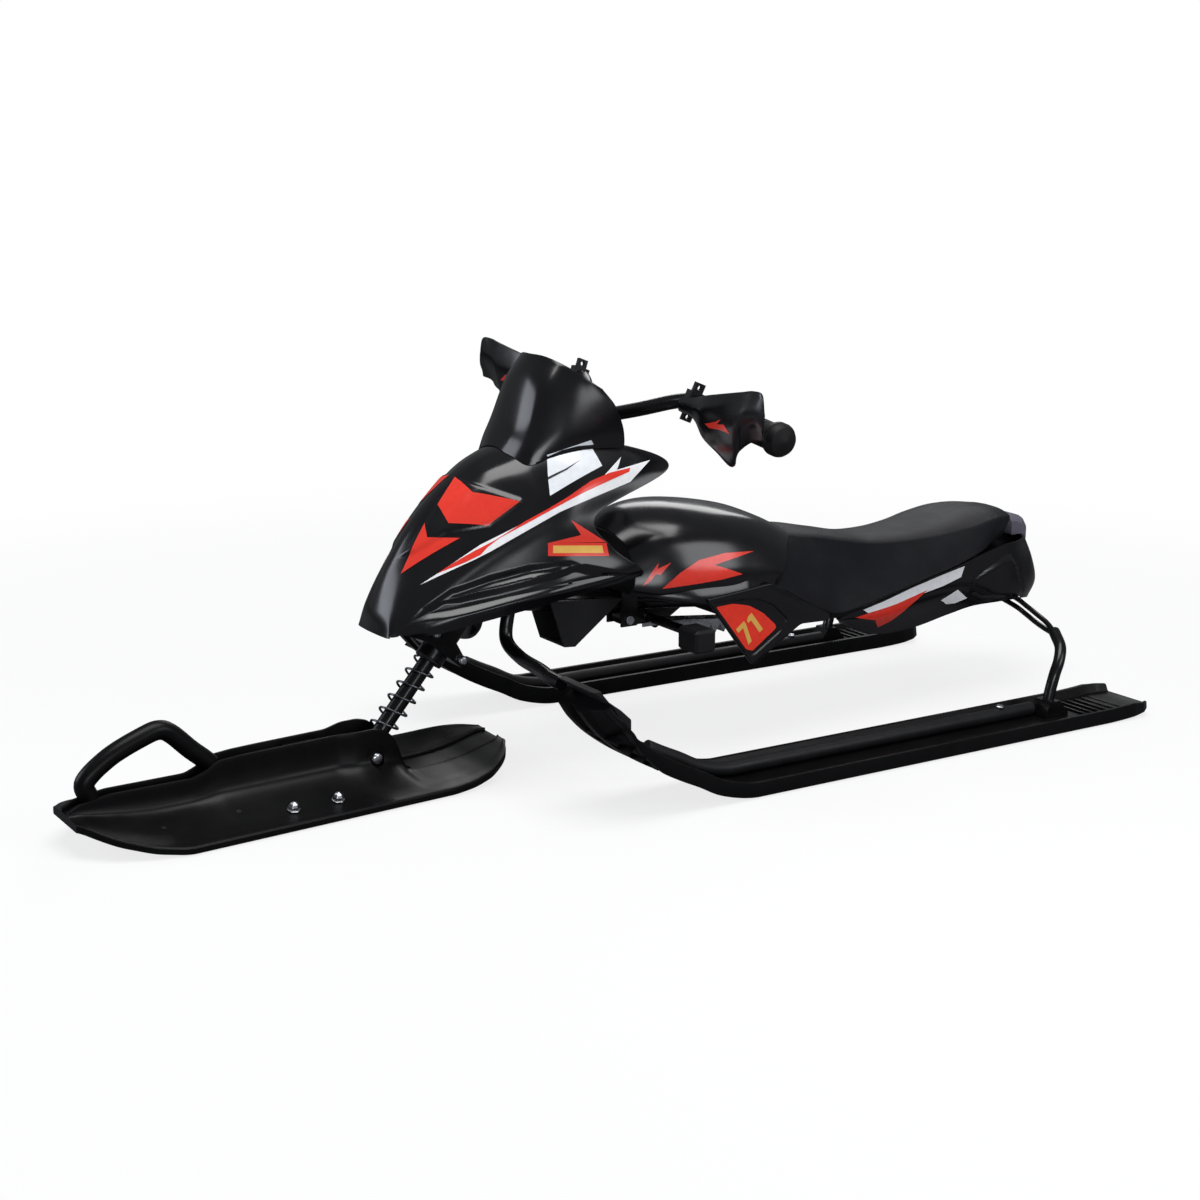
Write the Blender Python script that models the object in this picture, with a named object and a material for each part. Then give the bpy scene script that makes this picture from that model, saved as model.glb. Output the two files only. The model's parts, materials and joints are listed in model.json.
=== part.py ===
"""A child's snow sled: a steerable sprung front ski, two rear skis, a tube frame, body covers and a seat.

Metres, +X towards the front ski, +Y to the rider's left, +Z up. The origin is on the ground, under the
middle of the sled. The steering stands a few degrees to the left, as a sled is parked.
"""

import math

import bmesh
import bpy
from mathutils import Matrix, Vector

for old in list(bpy.data.objects):
    bpy.data.objects.remove(old, do_unlink=True)

# Clearances
seat_gap = 0.0003
running_gap = 0.0006

# Steering axis: it leans back, and distances along it are measured from the foot point
steer_rake = math.radians(40.0)
steer_foot = Vector((0.260, 0.0, 0.063))
steer_rest = math.radians(6.0)
bar_twist = math.radians(-4.5)
steer_axis = Vector((-math.sin(steer_rake), 0.0, math.cos(steer_rake)))

# Front ski
front_half = 0.083
front_flange = 0.0075
cheek_half = 0.0192
channel_half = 0.0162
cheek_top = 0.0615
ski_pivot_drop = 0.036
pivot_bolt_radius = 0.004
loop_radius = 0.0095

# Rear skis
track_half = 0.200
ski_half = 0.042
ski_deck = 0.009
ski_flange = 0.016
ski_groove = 0.005

# Frame tubes
backbone_radius = 0.0125
hoop_radius = 0.007
rear_hoop_radius = 0.0065
arm_radius = 0.0030
arm_apart = 0.0050
rail_radius = 0.0075
rail_offset = -0.009
foot_rear = 0.112
foot_front = 0.158

# Fork, spring and head
fork_radius = 0.0085
fork_bore = 0.0058
rod_radius = 0.0052
fork_travel = 0.022
spring_radius = 0.0136
spring_wire = 0.00125
spring_turns = 6
spring_low = -0.0225
head_radius = 0.0150
head_bore = 0.0115
head_low = 0.0785
head_length = 0.084
bush_flange = 0.003

# Handlebar
bar_radius = 0.0075
bar_height = 0.390
grip_radius = 0.0135
grip_inner = 0.159
grip_outer = 0.263
grip_flange = 0.0168
tab_lean = math.radians(-22.0)
guard_wall = 0.0022

# Covers
cover_wall = 0.0025
seat_crown = 0.006

# Brake
brake_pin_radius = 0.003
brake_hub_radius = 0.0075
brake_bar_radius = 0.005
pad_size = Vector((0.026, 0.036, 0.021))

# Fasteners
screw_radius = 0.003
screw_head = 0.0055
nut_radius = 0.0056


def material(name, colour, roughness, metallic=0.0):
    """One Principled material for each finish."""
    found = bpy.data.materials.get(name)
    if found:
        return found
    made = bpy.data.materials.new(name)
    made.use_nodes = True
    shader = made.node_tree.nodes["Principled BSDF"]
    shader.inputs["Base Color"].default_value = (*colour, 1.0)
    shader.inputs["Roughness"].default_value = roughness
    shader.inputs["Metallic"].default_value = metallic
    return made


gloss_black = material("gloss_black", (0.006, 0.006, 0.007), 0.12)
ski_black = material("ski_black", (0.010, 0.010, 0.011), 0.38)
matte_black = material("matte_black", (0.016, 0.016, 0.017), 0.6)
seat_vinyl = material("seat_vinyl", (0.018, 0.018, 0.020), 0.65)
frame_black = material("frame_black", (0.008, 0.008, 0.009), 0.25, 0.4)
zinc = material("zinc", (0.55, 0.56, 0.58), 0.3, 1.0)
spring_steel = material("spring_steel", (0.12, 0.12, 0.14), 0.3, 0.9)
smoke_grey = material("smoke_grey", (0.22, 0.21, 0.26), 0.25)


def finish_mesh(mesh, skin):
    """Faces point out, round faces look smooth and flat ones stay flat."""
    work = bmesh.new()
    work.from_mesh(mesh)
    bmesh.ops.recalc_face_normals(work, faces=work.faces)
    work.to_mesh(mesh)
    work.free()
    mesh.materials.append(skin)
    mesh.shade_smooth()
    mesh.set_sharp_from_angle(angle=math.radians(38.0))


def mesh_object(name, vertices, faces, skin):
    mesh = bpy.data.meshes.new(name)
    mesh.from_pydata([tuple(v) for v in vertices], [], faces)
    finish_mesh(mesh, skin)
    piece = bpy.data.objects.new(name, mesh)
    bpy.context.collection.objects.link(piece)
    return piece


def smooth_path(control, steps):
    """A Catmull-Rom curve through the control points, with a number of steps between each two."""
    points = [Vector(p) for p in control]
    chain = [points[0] * 2 - points[1]] + points + [points[-1] * 2 - points[-2]]
    path = []
    for a, b, c, d in zip(chain, chain[1:], chain[2:], chain[3:]):
        for k in range(steps):
            t = k / steps
            straight = b * 2 + (c - a) * t
            bend = (a * 2 - b * 5 + c * 4 - d) * t * t + (b * 3 - a - c * 3 + d) * t ** 3
            path.append((straight + bend) * 0.5)
    path.append(points[-1])
    return path


def along(table, place):
    """The value of a piecewise straight table of (place, value) pairs."""
    for (p, low), (q, high) in zip(table, table[1:]):
        if place <= q:
            share = min(max((place - p) / (q - p), 0.0), 1.0)
            return low + (high - low) * share
    return table[-1][1]


def tube(name, path, radius, skin, sides=10):
    """A round bar swept along a path, with flat ends."""
    rings = []
    count = len(path)
    side = None
    for i, point in enumerate(path):
        ahead = (path[min(i + 1, count - 1)] - path[max(i - 1, 0)]).normalized()
        if side is None:
            side = ahead.orthogonal().normalized()
        side = (side - ahead * side.dot(ahead)).normalized()
        other = ahead.cross(side)
        ring = []
        for k in range(sides):
            turn = 2 * math.pi * k / sides
            ring.append(point + (side * math.cos(turn) + other * math.sin(turn)) * radius)
        rings.append(ring)
    return loft(name, rings, skin)


def loft(name, rings, skin):
    """A closed body through rings of equal size, with an n-gon on each end."""
    size = len(rings[0])
    vertices = [p for ring in rings for p in ring]
    faces = [list(range(size)), list(range(len(vertices) - size, len(vertices)))]
    for i in range(len(rings) - 1):
        for k in range(size):
            n = (k + 1) % size
            faces.append([i * size + k, i * size + n, (i + 1) * size + n, (i + 1) * size + k])
    return mesh_object(name, vertices, faces, skin)


def turned(name, profile, base, axis, skin, sides=16, closed=False):
    """A turned body: profile points are (radius, height) above the base along the axis."""
    axis = Vector(axis).normalized()
    side = axis.orthogonal().normalized()
    other = axis.cross(side)
    vertices = []
    rings = []
    for radius, height in profile:
        centre = Vector(base) + axis * height
        first = len(vertices)
        if radius == 0.0:
            vertices.append(centre)
            rings.append([first])
            continue
        for k in range(sides):
            turn = 2 * math.pi * k / sides
            vertices.append(centre + (side * math.cos(turn) + other * math.sin(turn)) * radius)
        rings.append(list(range(first, first + sides)))
    faces = []
    pairs = list(zip(rings, rings[1:]))
    if closed:
        pairs.append((rings[-1], rings[0]))
    for low, high in pairs:
        for k in range(sides):
            n = (k + 1) % sides
            corners = [low[k % len(low)], low[n % len(low)], high[n % len(high)], high[k % len(high)]]
            faces.append(list(dict.fromkeys(corners)))
    return mesh_object(name, vertices, faces, skin)


def prism(name, outline, low, high, skin, bevel=0.0):
    """An outline of (x, z) points, pushed from y = low to y = high."""
    rings = [[Vector((x, y, z)) for x, z in outline] for y in (low, high)]
    piece = loft(name, rings, skin)
    if bevel:
        soften(piece, bevel)
    return piece


def block(name, low, high, skin, bevel=0.0):
    outline = [(low[0], low[2]), (high[0], low[2]), (high[0], high[2]), (low[0], high[2])]
    return prism(name, outline, low[1], high[1], skin, bevel)


def soften(piece, width, segments=1):
    modifier = piece.modifiers.new("edges", "BEVEL")
    modifier.width = width
    modifier.segments = segments
    modifier.limit_method = "ANGLE"
    modifier.angle_limit = math.radians(40.0)


def cut(piece, cutter, operation="DIFFERENCE"):
    modifier = piece.modifiers.new(operation.lower(), "BOOLEAN")
    modifier.operation = operation
    modifier.object = cutter
    cutter.hide_render = True
    cutter.display_type = "WIRE"


def full_width(half):
    """Lines on the rider's left, the first one in the middle, with their mirror images before them."""
    right = [[Vector((p.x, -p.y, p.z)) for p in line] for line in half[:0:-1]]
    return right + half


def sheet(name, lines, skin):
    """An open surface through lines of equal length. Its faces point away from its own middle."""
    length = len(lines[0])
    vertices = [p for line in lines for p in line]
    faces = []
    for i in range(len(lines) - 1):
        for k in range(length - 1):
            a = i * length + k
            faces.append((a, a + length, a + length + 1, a + 1))
    low = [min(p[i] for p in vertices) for i in range(3)]
    high = [max(p[i] for p in vertices) for i in range(3)]
    middle = (Vector(low) + Vector(high)) * 0.5
    outward = 0.0
    for face in faces:
        p, q, r, s = [vertices[k] for k in face]
        outward += (r - p).cross(s - q).dot(p + q + r + s - middle * 4)
    if outward < 0.0:
        faces = [face[::-1] for face in faces]
    mesh = bpy.data.meshes.new(name)
    mesh.from_pydata([tuple(v) for v in vertices], [], faces)
    mesh.materials.append(skin)
    mesh.shade_smooth()
    mesh.set_sharp_from_angle(angle=math.radians(38.0))
    piece = bpy.data.objects.new(name, mesh)
    bpy.context.collection.objects.link(piece)
    return piece


def thicken(piece, outside, inside):
    """Gives an open surface a wall from a distance outside it to a distance inside it."""
    modifier = piece.modifiers.new("wall", "SOLIDIFY")
    modifier.thickness = outside + inside
    modifier.offset = (outside - inside) / (outside + inside)


def shell(name, lines, skin, wall=cover_wall):
    """A moulded cover: the surface is its outer face."""
    piece = sheet(name, lines, skin)
    thicken(piece, 0.0, wall)
    return piece


def keep_inside(piece, name, lines, reach=0.02, wall=cover_wall):
    """Trims a bracket or post so that it ends just inside a cover's inner face."""
    cutter = sheet(name, lines, matte_black)
    thicken(cutter, reach, wall + seat_gap)
    cut(piece, cutter)
    return cutter


def cover_lines(control, length_steps, width_steps):
    """Lines of a cover, smoothed along their length and then across."""
    lengthwise = [smooth_path(line, length_steps) for line in control]
    crosswise = [smooth_path(row, width_steps) for row in zip(*lengthwise)]
    return [list(line) for line in zip(*crosswise)]


def empty(name, place, parent=None):
    holder = bpy.data.objects.new(name, None)
    bpy.context.collection.objects.link(holder)
    holder.location = place
    holder.parent = parent
    return holder


def hang(piece, holder, pivot):
    """Puts the piece's origin on the pivot and parents it to the empty that stands there."""
    piece.data.transform(Matrix.Translation(-pivot))
    piece.parent = holder


def on_axis(distance, side=0.0, ahead=0.0):
    """A point at a distance up the steering axis, moved sideways or square to the axis."""
    forward = Vector((math.cos(steer_rake), 0.0, math.sin(steer_rake)))
    return steer_foot + steer_axis * distance + forward * ahead + Vector((0.0, side, 0.0))


# Pivot points. The steering holder turns the steered pieces to the rest angle
ski_pivot = on_axis(-ski_pivot_drop)
ski_roll = math.asin(math.sin(steer_rest) * math.sin(steer_rake))
ski_lift = front_half * math.sin(ski_roll)
steer_turn = Matrix.Translation(steer_foot) @ Matrix.Rotation(steer_rest, 4, steer_axis)
steer_lean = Matrix.Translation(steer_foot) @ Matrix.Rotation(-steer_rake, 4, "Y")
bar_turn = Matrix.Translation(steer_foot) @ Matrix.Rotation(bar_twist, 4, steer_axis)
bar_turn = bar_turn @ Matrix.Translation(-steer_foot)

# Backbone tube, its height at any x, and the pivot of the brake under it
backbone_line = [(-0.5297, 0.1125), (-0.4915, 0.1225), (-0.2915, 0.132), (-0.1115, 0.150),
                 (0.0585, 0.1665), (0.160, 0.1809)]
brake_x = -0.024
brake_pivot = Vector((brake_x, 0.0, 0.1577 - backbone_radius - brake_hub_radius - 0.001))

steering_holder = empty("steering_holder", steer_foot)
steering_holder.matrix_world = steer_turn
ski_holder = empty("ski_holder", ski_pivot - steer_foot, steering_holder)
brake_holder = empty("brake_holder", brake_pivot)


def steered(*pieces):
    for piece in pieces:
        hang(piece, steering_holder, steer_foot)


def on_bars(*pieces):
    """The bars are clamped a few degrees off the ski's line, as they are in the photo."""
    for piece in pieces:
        piece.data.transform(bar_turn)
        hang(piece, steering_holder, steer_foot)


def on_ski(*pieces):
    for piece in pieces:
        hang(piece, ski_holder, ski_pivot)


def braked(*pieces):
    for piece in pieces:
        hang(piece, brake_holder, brake_pivot)


def lean(*pieces):
    """Moves pieces built upright at the foot point, with +Z up the steering axis, into the head's slope."""
    for piece in pieces:
        piece.data.transform(steer_lean)


def backbone_height(x):
    return along(backbone_line, x)


def spine_cutter(name, low, high, gap):
    """A cutter along the backbone that leaves a gap round it."""
    stops = [low] + [x for x, z in backbone_line if low < x < high] + [high]
    path = [Vector((x, 0.0, backbone_height(x))) for x in stops]
    return tube(name, path, backbone_radius + gap, frame_black, 14)


def mirrored(points):
    return [Vector((p[0], -p[1], p[2])) for p in points]


def pin(name, place, axis, radius, low, high, skin=zinc, sides=12):
    """A plain round pin from low to high along an axis through a place."""
    profile = [(0.0, low), (radius, low), (radius, high), (0.0, high)]
    return turned(name, profile, place, axis, skin, sides)


def bore(name, place, axis, radius, low, high, sides=12):
    """A cutter for a hole whose flats stay clear of a round piece of this radius."""
    return pin(name, place, axis, (radius + seat_gap) / math.cos(math.pi / sides), low, high, zinc, sides)


def slab(name, outline, low, high, skin):
    """An outline of (y, z) points, pushed from x = low to x = high."""
    rings = [[Vector((x, y, z)) for y, z in outline] for x in (low, high)]
    return loft(name, rings, skin)


def screw(name, place, axis, radius=screw_head, skin=zinc):
    """A domed screw head that sits on a face, with the axis pointing out of it."""
    profile = [(0.0, seat_gap), (radius, seat_gap), (radius, radius * 0.35), (radius * 0.7, radius * 0.62),
               (0.0, radius * 0.72)]
    return turned(name, profile, place, axis, skin, 8)


def cap_nut(name, place, axis, radius=nut_radius, skin=zinc):
    """A domed hexagon nut that sits on a face."""
    profile = [(0.0, seat_gap), (radius * 1.25, seat_gap), (radius * 1.25, seat_gap + 0.001),
               (radius, seat_gap + 0.001), (radius, radius * 0.85), (radius * 0.75, radius * 1.35),
               (0.0, radius * 1.6)]
    return turned(name, profile, place, axis, skin, 6)


# Front ski sections: distances from the tail end to the nose, at the height above the ski's underside
front_stations = [0.131, 0.135, 0.142, 0.151, 0.161, 0.176, 0.200, 0.225, 0.240, 0.250, 0.254, 0.262,
                  0.272, 0.284, 0.303, 0.325, 0.338, 0.376, 0.386, 0.405, 0.430, 0.452, 0.466, 0.478, 0.515,
                  0.545, 0.575, 0.592, 0.602]
front_widths = [(0.131, 0.023), (0.135, 0.034), (0.142, 0.0455), (0.151, 0.0555), (0.161, 0.0635),
                (0.176, 0.0725), (0.200, 0.0795), (0.225, front_half), (0.515, front_half),
                (0.545, front_half * 0.89), (0.575, front_half * 0.70), (0.592, front_half * 0.49),
                (0.602, front_half * 0.30)]
front_rise = [(0.131, 0.016), (0.142, 0.0130), (0.161, 0.0085), (0.176, 0.0045), (0.200, 0.0012),
              (0.225, 0.0), (0.515, 0.0), (0.545, 0.004), (0.575, 0.012), (0.602, 0.022)]
front_ridge = [(0.240, 0.0110), (0.250, 0.0165), (0.254, 0.032), (0.262, cheek_top - 0.013),
               (0.272, cheek_top - 0.0045), (0.284, cheek_top - 0.001), (0.303, cheek_top - 0.001),
               (0.325, cheek_top - 0.0025),
               (0.405, cheek_top - 0.003), (0.430, cheek_top - 0.0035), (0.452, cheek_top - 0.005),
               (0.466, 0.048), (0.478, 0.0435), (0.560, 0.0445), (0.592, 0.040), (0.602, 0.034)]
front_neck = [(0.116, cheek_half), (0.303, cheek_half), (0.325, 0.0120), (0.430, 0.0115), (0.490, 0.0095),
              (0.602, 0.009)]
front_channel = [(0.116, channel_half), (0.303, channel_half), (0.325, 0.0088), (0.430, 0.0085),
                 (0.490, 0.0065), (0.602, 0.006)]
front_floor = [(0.116, 0.0055), (0.230, 0.0060), (0.245, 0.0075), (0.325, 0.0075), (0.338, cheek_top - 0.009),
               (0.376, cheek_top - 0.009), (0.386, 0.008), (0.430, 0.008), (0.470, 0.028), (0.560, 0.034),
               (0.592, 0.034), (0.602, 0.030)]


def front_section(x):
    """Half of the hull's section, from the underside over the flange and the bell side into the channel."""
    wide = along(front_widths, x)
    low = along(front_rise, x)
    deck = low + front_flange
    if x < front_ridge[0][0]:
        top = deck + 0.0012
        inner = deck - 0.0015
    else:
        top = along(front_ridge, x)
        inner = along(front_floor, x)
    neck = min(along(front_neck, x), wide * 0.5)
    gap = min(along(front_channel, x), neck * 0.86)
    rise = top - deck
    return [
        (wide - 0.001, low), (wide, low + 0.001), (wide, deck - 0.0015), (wide * 0.97, deck),
        (wide * 0.87, deck + 0.0004), (neck + (wide - neck) * 0.58, deck + rise * 0.085),
        (neck + (wide - neck) * 0.14, deck + rise * 0.30), (neck + (wide - neck) * 0.03, deck + rise * 0.55),
        (neck, top), (gap, top), (gap, inner),
    ]


def front_ski():
    """The moulded front ski: a flat base, a bell-shaped hull and two cheeks with an open channel between."""
    rings = []
    for x in front_stations:
        near = front_section(x)
        ring = [Vector((x, y, z + ski_lift)) for y, z in near]
        ring += [Vector((x, -y, z + ski_lift)) for y, z in reversed(near)]
        rings.append(ring)
    hull = loft("front_ski", rings, ski_black)
    hole = bore("pivot_bore", ski_pivot, (0, 1, 0), pivot_bolt_radius, -0.03, 0.03)
    cut(hull, hole)
    on_ski(hull, hole)
    face = cheek_half + 0.0008
    for side in (1, -1):
        spot = pin("spot_face", ski_pivot, (0, side, 0), 0.0082, face, face + 0.03, sides=16)
        cut(hull, spot)
        on_ski(spot)
    out = face + seat_gap
    half = [(pivot_bolt_radius, out), (0.0058, out), (0.0058, out + 0.003), (0.0040, out + 0.0048),
            (0.0, out + 0.0052)]
    profile = [(radius, -height) for radius, height in reversed(half)] + half
    bolt = turned("pivot_bolt", profile, ski_pivot, (0, 1, 0), zinc, 12)
    on_ski(bolt)


def front_fittings():
    """The thick lifting loop on the nose, its clip, and the domed nuts on the flare."""
    path = smooth_path([(0.578, 0, 0.0415), (0.581, 0, 0.058), (0.556, 0, 0.078), (0.522, 0, 0.0920),
                        (0.506, 0, 0.0950), (0.494, 0, 0.0885), (0.476, 0, 0.0705), (0.462, 0, 0.058),
                        (0.454, 0, 0.050)], 3)
    loop = tube("nose_loop", [p + Vector((0.0, 0.0, ski_lift)) for p in path], loop_radius, ski_black, 12)
    bed = []
    for x in (0.430, 0.452, 0.466, 0.478, 0.560, 0.592, 0.602):
        half = loop_radius + 0.002
        top = along(front_ridge, x) + ski_lift + seat_gap
        bed.append([Vector((x, half, top)), Vector((x, -half, top)), Vector((x, -half, top - 0.04)),
                    Vector((x, half, top - 0.04))])
    ridge = loft("loop_bed", bed, ski_black)
    cut(loop, ridge)
    on_ski(loop, ridge)
    flare = front_half * 0.693
    for side, label in ((1, "left"), (-1, "right")):
        for x, place in ((0.3960, "front"), (0.3475, "rear")):
            section = front_section(x)
            low_side, high_side = Vector(section[4]), Vector(section[5])
            slope = (high_side - low_side).normalized()
            share = (flare - high_side.x) / (low_side.x - high_side.x)
            spot = high_side + (low_side - high_side) * share
            out = Vector((0.0, side * slope.y, -slope.x))
            base = Vector((x, side * spot.x, spot.y + ski_lift))
            on_ski(cap_nut(label + "_" + place + "_deck_nut", base, out))


def fork():
    """The fork slides up over the column's rod, and its foot hangs between the ski's cheeks."""
    ear = channel_half - running_gap
    seat_low = spring_low - 0.004
    foot = turned("fork_foot", [(0.0, seat_low), (ear * 0.96, seat_low), (ear * 0.96, spring_low),
                                (0.0, spring_low)], (0, 0, 0), (0, 0, 1), frame_black, 16)
    lug = prism("fork_lug", [(-0.0085, -ski_pivot_drop - 0.0095), (0.0085, -ski_pivot_drop - 0.0095),
                             (0.0115, -ski_pivot_drop - 0.005), (0.0115, seat_low + 0.001),
                             (-0.0115, seat_low + 0.001), (-0.0115, -ski_pivot_drop - 0.005)],
                -ear, ear, frame_black)
    hole = bore("fork_bore", (0, 0, -ski_pivot_drop), (0, 1, 0), pivot_bolt_radius, -0.03, 0.03)
    cut(foot, lug, "UNION")
    cut(foot, hole)
    top = 0.120
    leg = turned("fork_tube", [(fork_bore, spring_low + seat_gap), (fork_radius, spring_low + seat_gap),
                               (fork_radius, top), (fork_bore, top)], (0, 0, 0), (0, 0, 1),
                 frame_black, 16, closed=True)
    lean(foot, lug, hole, leg)
    steered(foot, lug, hole, leg)


def coil_spring():
    """The spring stands on the fork's foot and pushes up against the head's lower bush."""
    low = spring_low + seat_gap + spring_wire
    high = head_low - bush_flange - seat_gap - spring_wire
    points = spring_turns * 10
    least = (high - low) / spring_turns - spring_wire * 2
    print("spring self-gap mm", round(least * 1000, 2))
    curve = bpy.data.curves.new("coil_spring", "CURVE")
    curve.dimensions = "3D"
    curve.bevel_depth = spring_wire
    curve.bevel_resolution = 1
    curve.use_fill_caps = True
    spline = curve.splines.new("POLY")
    spline.points.add(points)
    for i in range(points + 1):
        turn = 2 * math.pi * i / 10
        spot = Vector((math.cos(turn) * spring_radius, math.sin(turn) * spring_radius,
                       low + (high - low) * i / points))
        spline.points[i].co = (*(steer_lean @ spot - steer_foot), 1.0)
    curve.materials.append(spring_steel)
    piece = bpy.data.objects.new("coil_spring", curve)
    bpy.context.collection.objects.link(piece)
    piece.parent = steering_holder


def head():
    """The head tube with a bush at each end, and the column that turns in it."""
    top = head_low + head_length
    tube_piece = turned("head_tube", [(head_bore, head_low), (head_radius, head_low), (head_radius, top),
                                      (head_bore, top)], (0, 0, 0), (0, 0, 1), frame_black, 20, closed=True)
    sleeve = head_bore - seat_gap
    slide = fork_radius + running_gap
    lower = turned("lower_bush", [(slide, head_low - bush_flange), (head_radius, head_low - bush_flange),
                                  (head_radius, head_low - seat_gap), (sleeve, head_low - seat_gap),
                                  (sleeve, head_low + 0.020), (slide, head_low + 0.020)],
                   (0, 0, 0), (0, 0, 1), matte_black, 20, closed=True)
    upper = turned("upper_bush", [(slide, top - 0.004), (sleeve, top - 0.004), (sleeve, top + seat_gap),
                                  (head_radius, top + seat_gap), (head_radius, top + bush_flange),
                                  (slide, top + bush_flange)],
                   (0, 0, 0), (0, 0, 1), matte_black, 20, closed=True)
    shoulder = 0.120 + fork_travel + 0.0045
    column = turned("steering_column", [(0.0, 0.060), (rod_radius, 0.060), (rod_radius, shoulder),
                                        (fork_radius, shoulder), (fork_radius, bar_height - 0.013),
                                        (0.0, bar_height - 0.013)], (0, 0, 0), (0, 0, 1), frame_black, 16)
    lean(tube_piece, lower, upper, column)
    steered(column)


def stem():
    """The clamp at the top of the column: a base, a cap and two bolts hold the handlebar."""
    low = bar_height - 0.013 + seat_gap
    base = block("stem_base", (-0.017, -0.015, low), (0.017, 0.015, bar_height - seat_gap), matte_black,
                 0.0015)
    cap = block("stem_cap", (-0.017, -0.015, bar_height + seat_gap), (0.017, 0.015, bar_height + 0.0115),
                matte_black, 0.0015)
    groove = bore("bar_groove", (0, 0, bar_height), (0, 1, 0), bar_radius, -0.03, 0.03, 16)
    cut(base, groove)
    cut(cap, groove)
    lean(base, cap, groove)
    on_bars(base, cap, groove)
    bolt = screw("stem_bolt", (0, 0, bar_height + 0.0115), (0, 0, 1), 0.0075)
    lean(bolt)
    on_bars(bolt)


# Handlebar, straight ahead: the middle is level, then each side rises to a bend and runs out to the grip
bar_middle = on_axis(bar_height)
bar_bend = Vector((-0.0380, 0.099, 0.3840))
bar_end = Vector((-0.0330, grip_outer - 0.004, 0.3660))
bar_out = (bar_end - bar_bend).normalized()


def on_bar(y):
    """A point on the straight outer stretch of the handlebar's left side."""
    return bar_bend + bar_out * ((y - bar_bend.y) / bar_out.y)


def handlebar():
    control = [bar_middle + Vector((0, 0.0155, 0)), bar_middle + Vector((-0.003, 0.026, 0.0015)),
               Vector((-0.0130, 0.053, 0.3710)), Vector((-0.0300, 0.081, 0.3800)), bar_bend]
    left = smooth_path(control, 2) + [bar_end]
    path = mirrored(reversed(left)) + left
    on_bars(tube("handlebar", path, bar_radius, frame_black, 12))
    start = on_bar(grip_inner)
    length = (on_bar(grip_outer) - start).length
    bore_radius = (bar_radius + seat_gap) / math.cos(math.pi / 16)
    blind = (bar_end - start).length + seat_gap
    profile = [(0.0, blind), (bore_radius, blind), (bore_radius, 0.0), (grip_radius + 0.003, 0.0),
               (grip_radius + 0.003, 0.005), (grip_radius, 0.007), (grip_radius, length * 0.80),
               (grip_radius * 0.93, length * 0.84), (grip_flange, length * 0.90),
               (grip_flange, length * 0.97), (grip_flange * 0.80, length * 1.03),
               (grip_flange * 0.45, length * 1.04), (0.0, length * 1.065)]
    for side, label in ((1, "left"), (-1, "right")):
        place = Vector((start.x, start.y * side, start.z))
        way = Vector((bar_out.x, bar_out.y * side, bar_out.z))
        on_bars(turned(label + "_grip", profile, place, way, matte_black, 16))


# Handguard: columns from the clamp outwards, each with its lower, two middle and upper points
guard_columns = [
    [(-0.0257, 0.1010, 0.3740), (-0.0242, 0.1013, 0.3782),
     (-0.0242, 0.1016, 0.3832), (-0.0257, 0.1018, 0.3882)],
    [(-0.0206, 0.1336, 0.3704), (-0.0186, 0.1341, 0.3774),
     (-0.0186, 0.1345, 0.3853), (-0.0216, 0.1347, 0.3923)],
    [(-0.0139, 0.1590, 0.3557), (-0.0114, 0.1598, 0.3697),
     (-0.0109, 0.1614, 0.3839), (-0.0149, 0.1615, 0.3981)],
    [(-0.0093, 0.1888, 0.3459), (-0.0063, 0.1907, 0.3651),
     (-0.0052, 0.1941, 0.3848), (-0.0102, 0.1952, 0.4043)],
    [(-0.0076, 0.2173, 0.3356), (-0.0041, 0.2211, 0.3608),
     (-0.0024, 0.2260, 0.3862), (-0.0072, 0.2302, 0.4105)],
    [(-0.0082, 0.2279, 0.3526), (-0.0051, 0.2335, 0.3712),
     (-0.0029, 0.2416, 0.3924), (-0.0070, 0.2487, 0.4136)],
    [(-0.0088, 0.2482, 0.3646), (-0.0062, 0.2521, 0.3775),
     (-0.0030, 0.2589, 0.3917), (-0.0050, 0.2636, 0.4117)],
    [(-0.0080, 0.2674, 0.3673), (-0.0064, 0.2669, 0.3741),
     (-0.0042, 0.2681, 0.3824), (-0.0045, 0.2689, 0.3925)],
]


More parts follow.
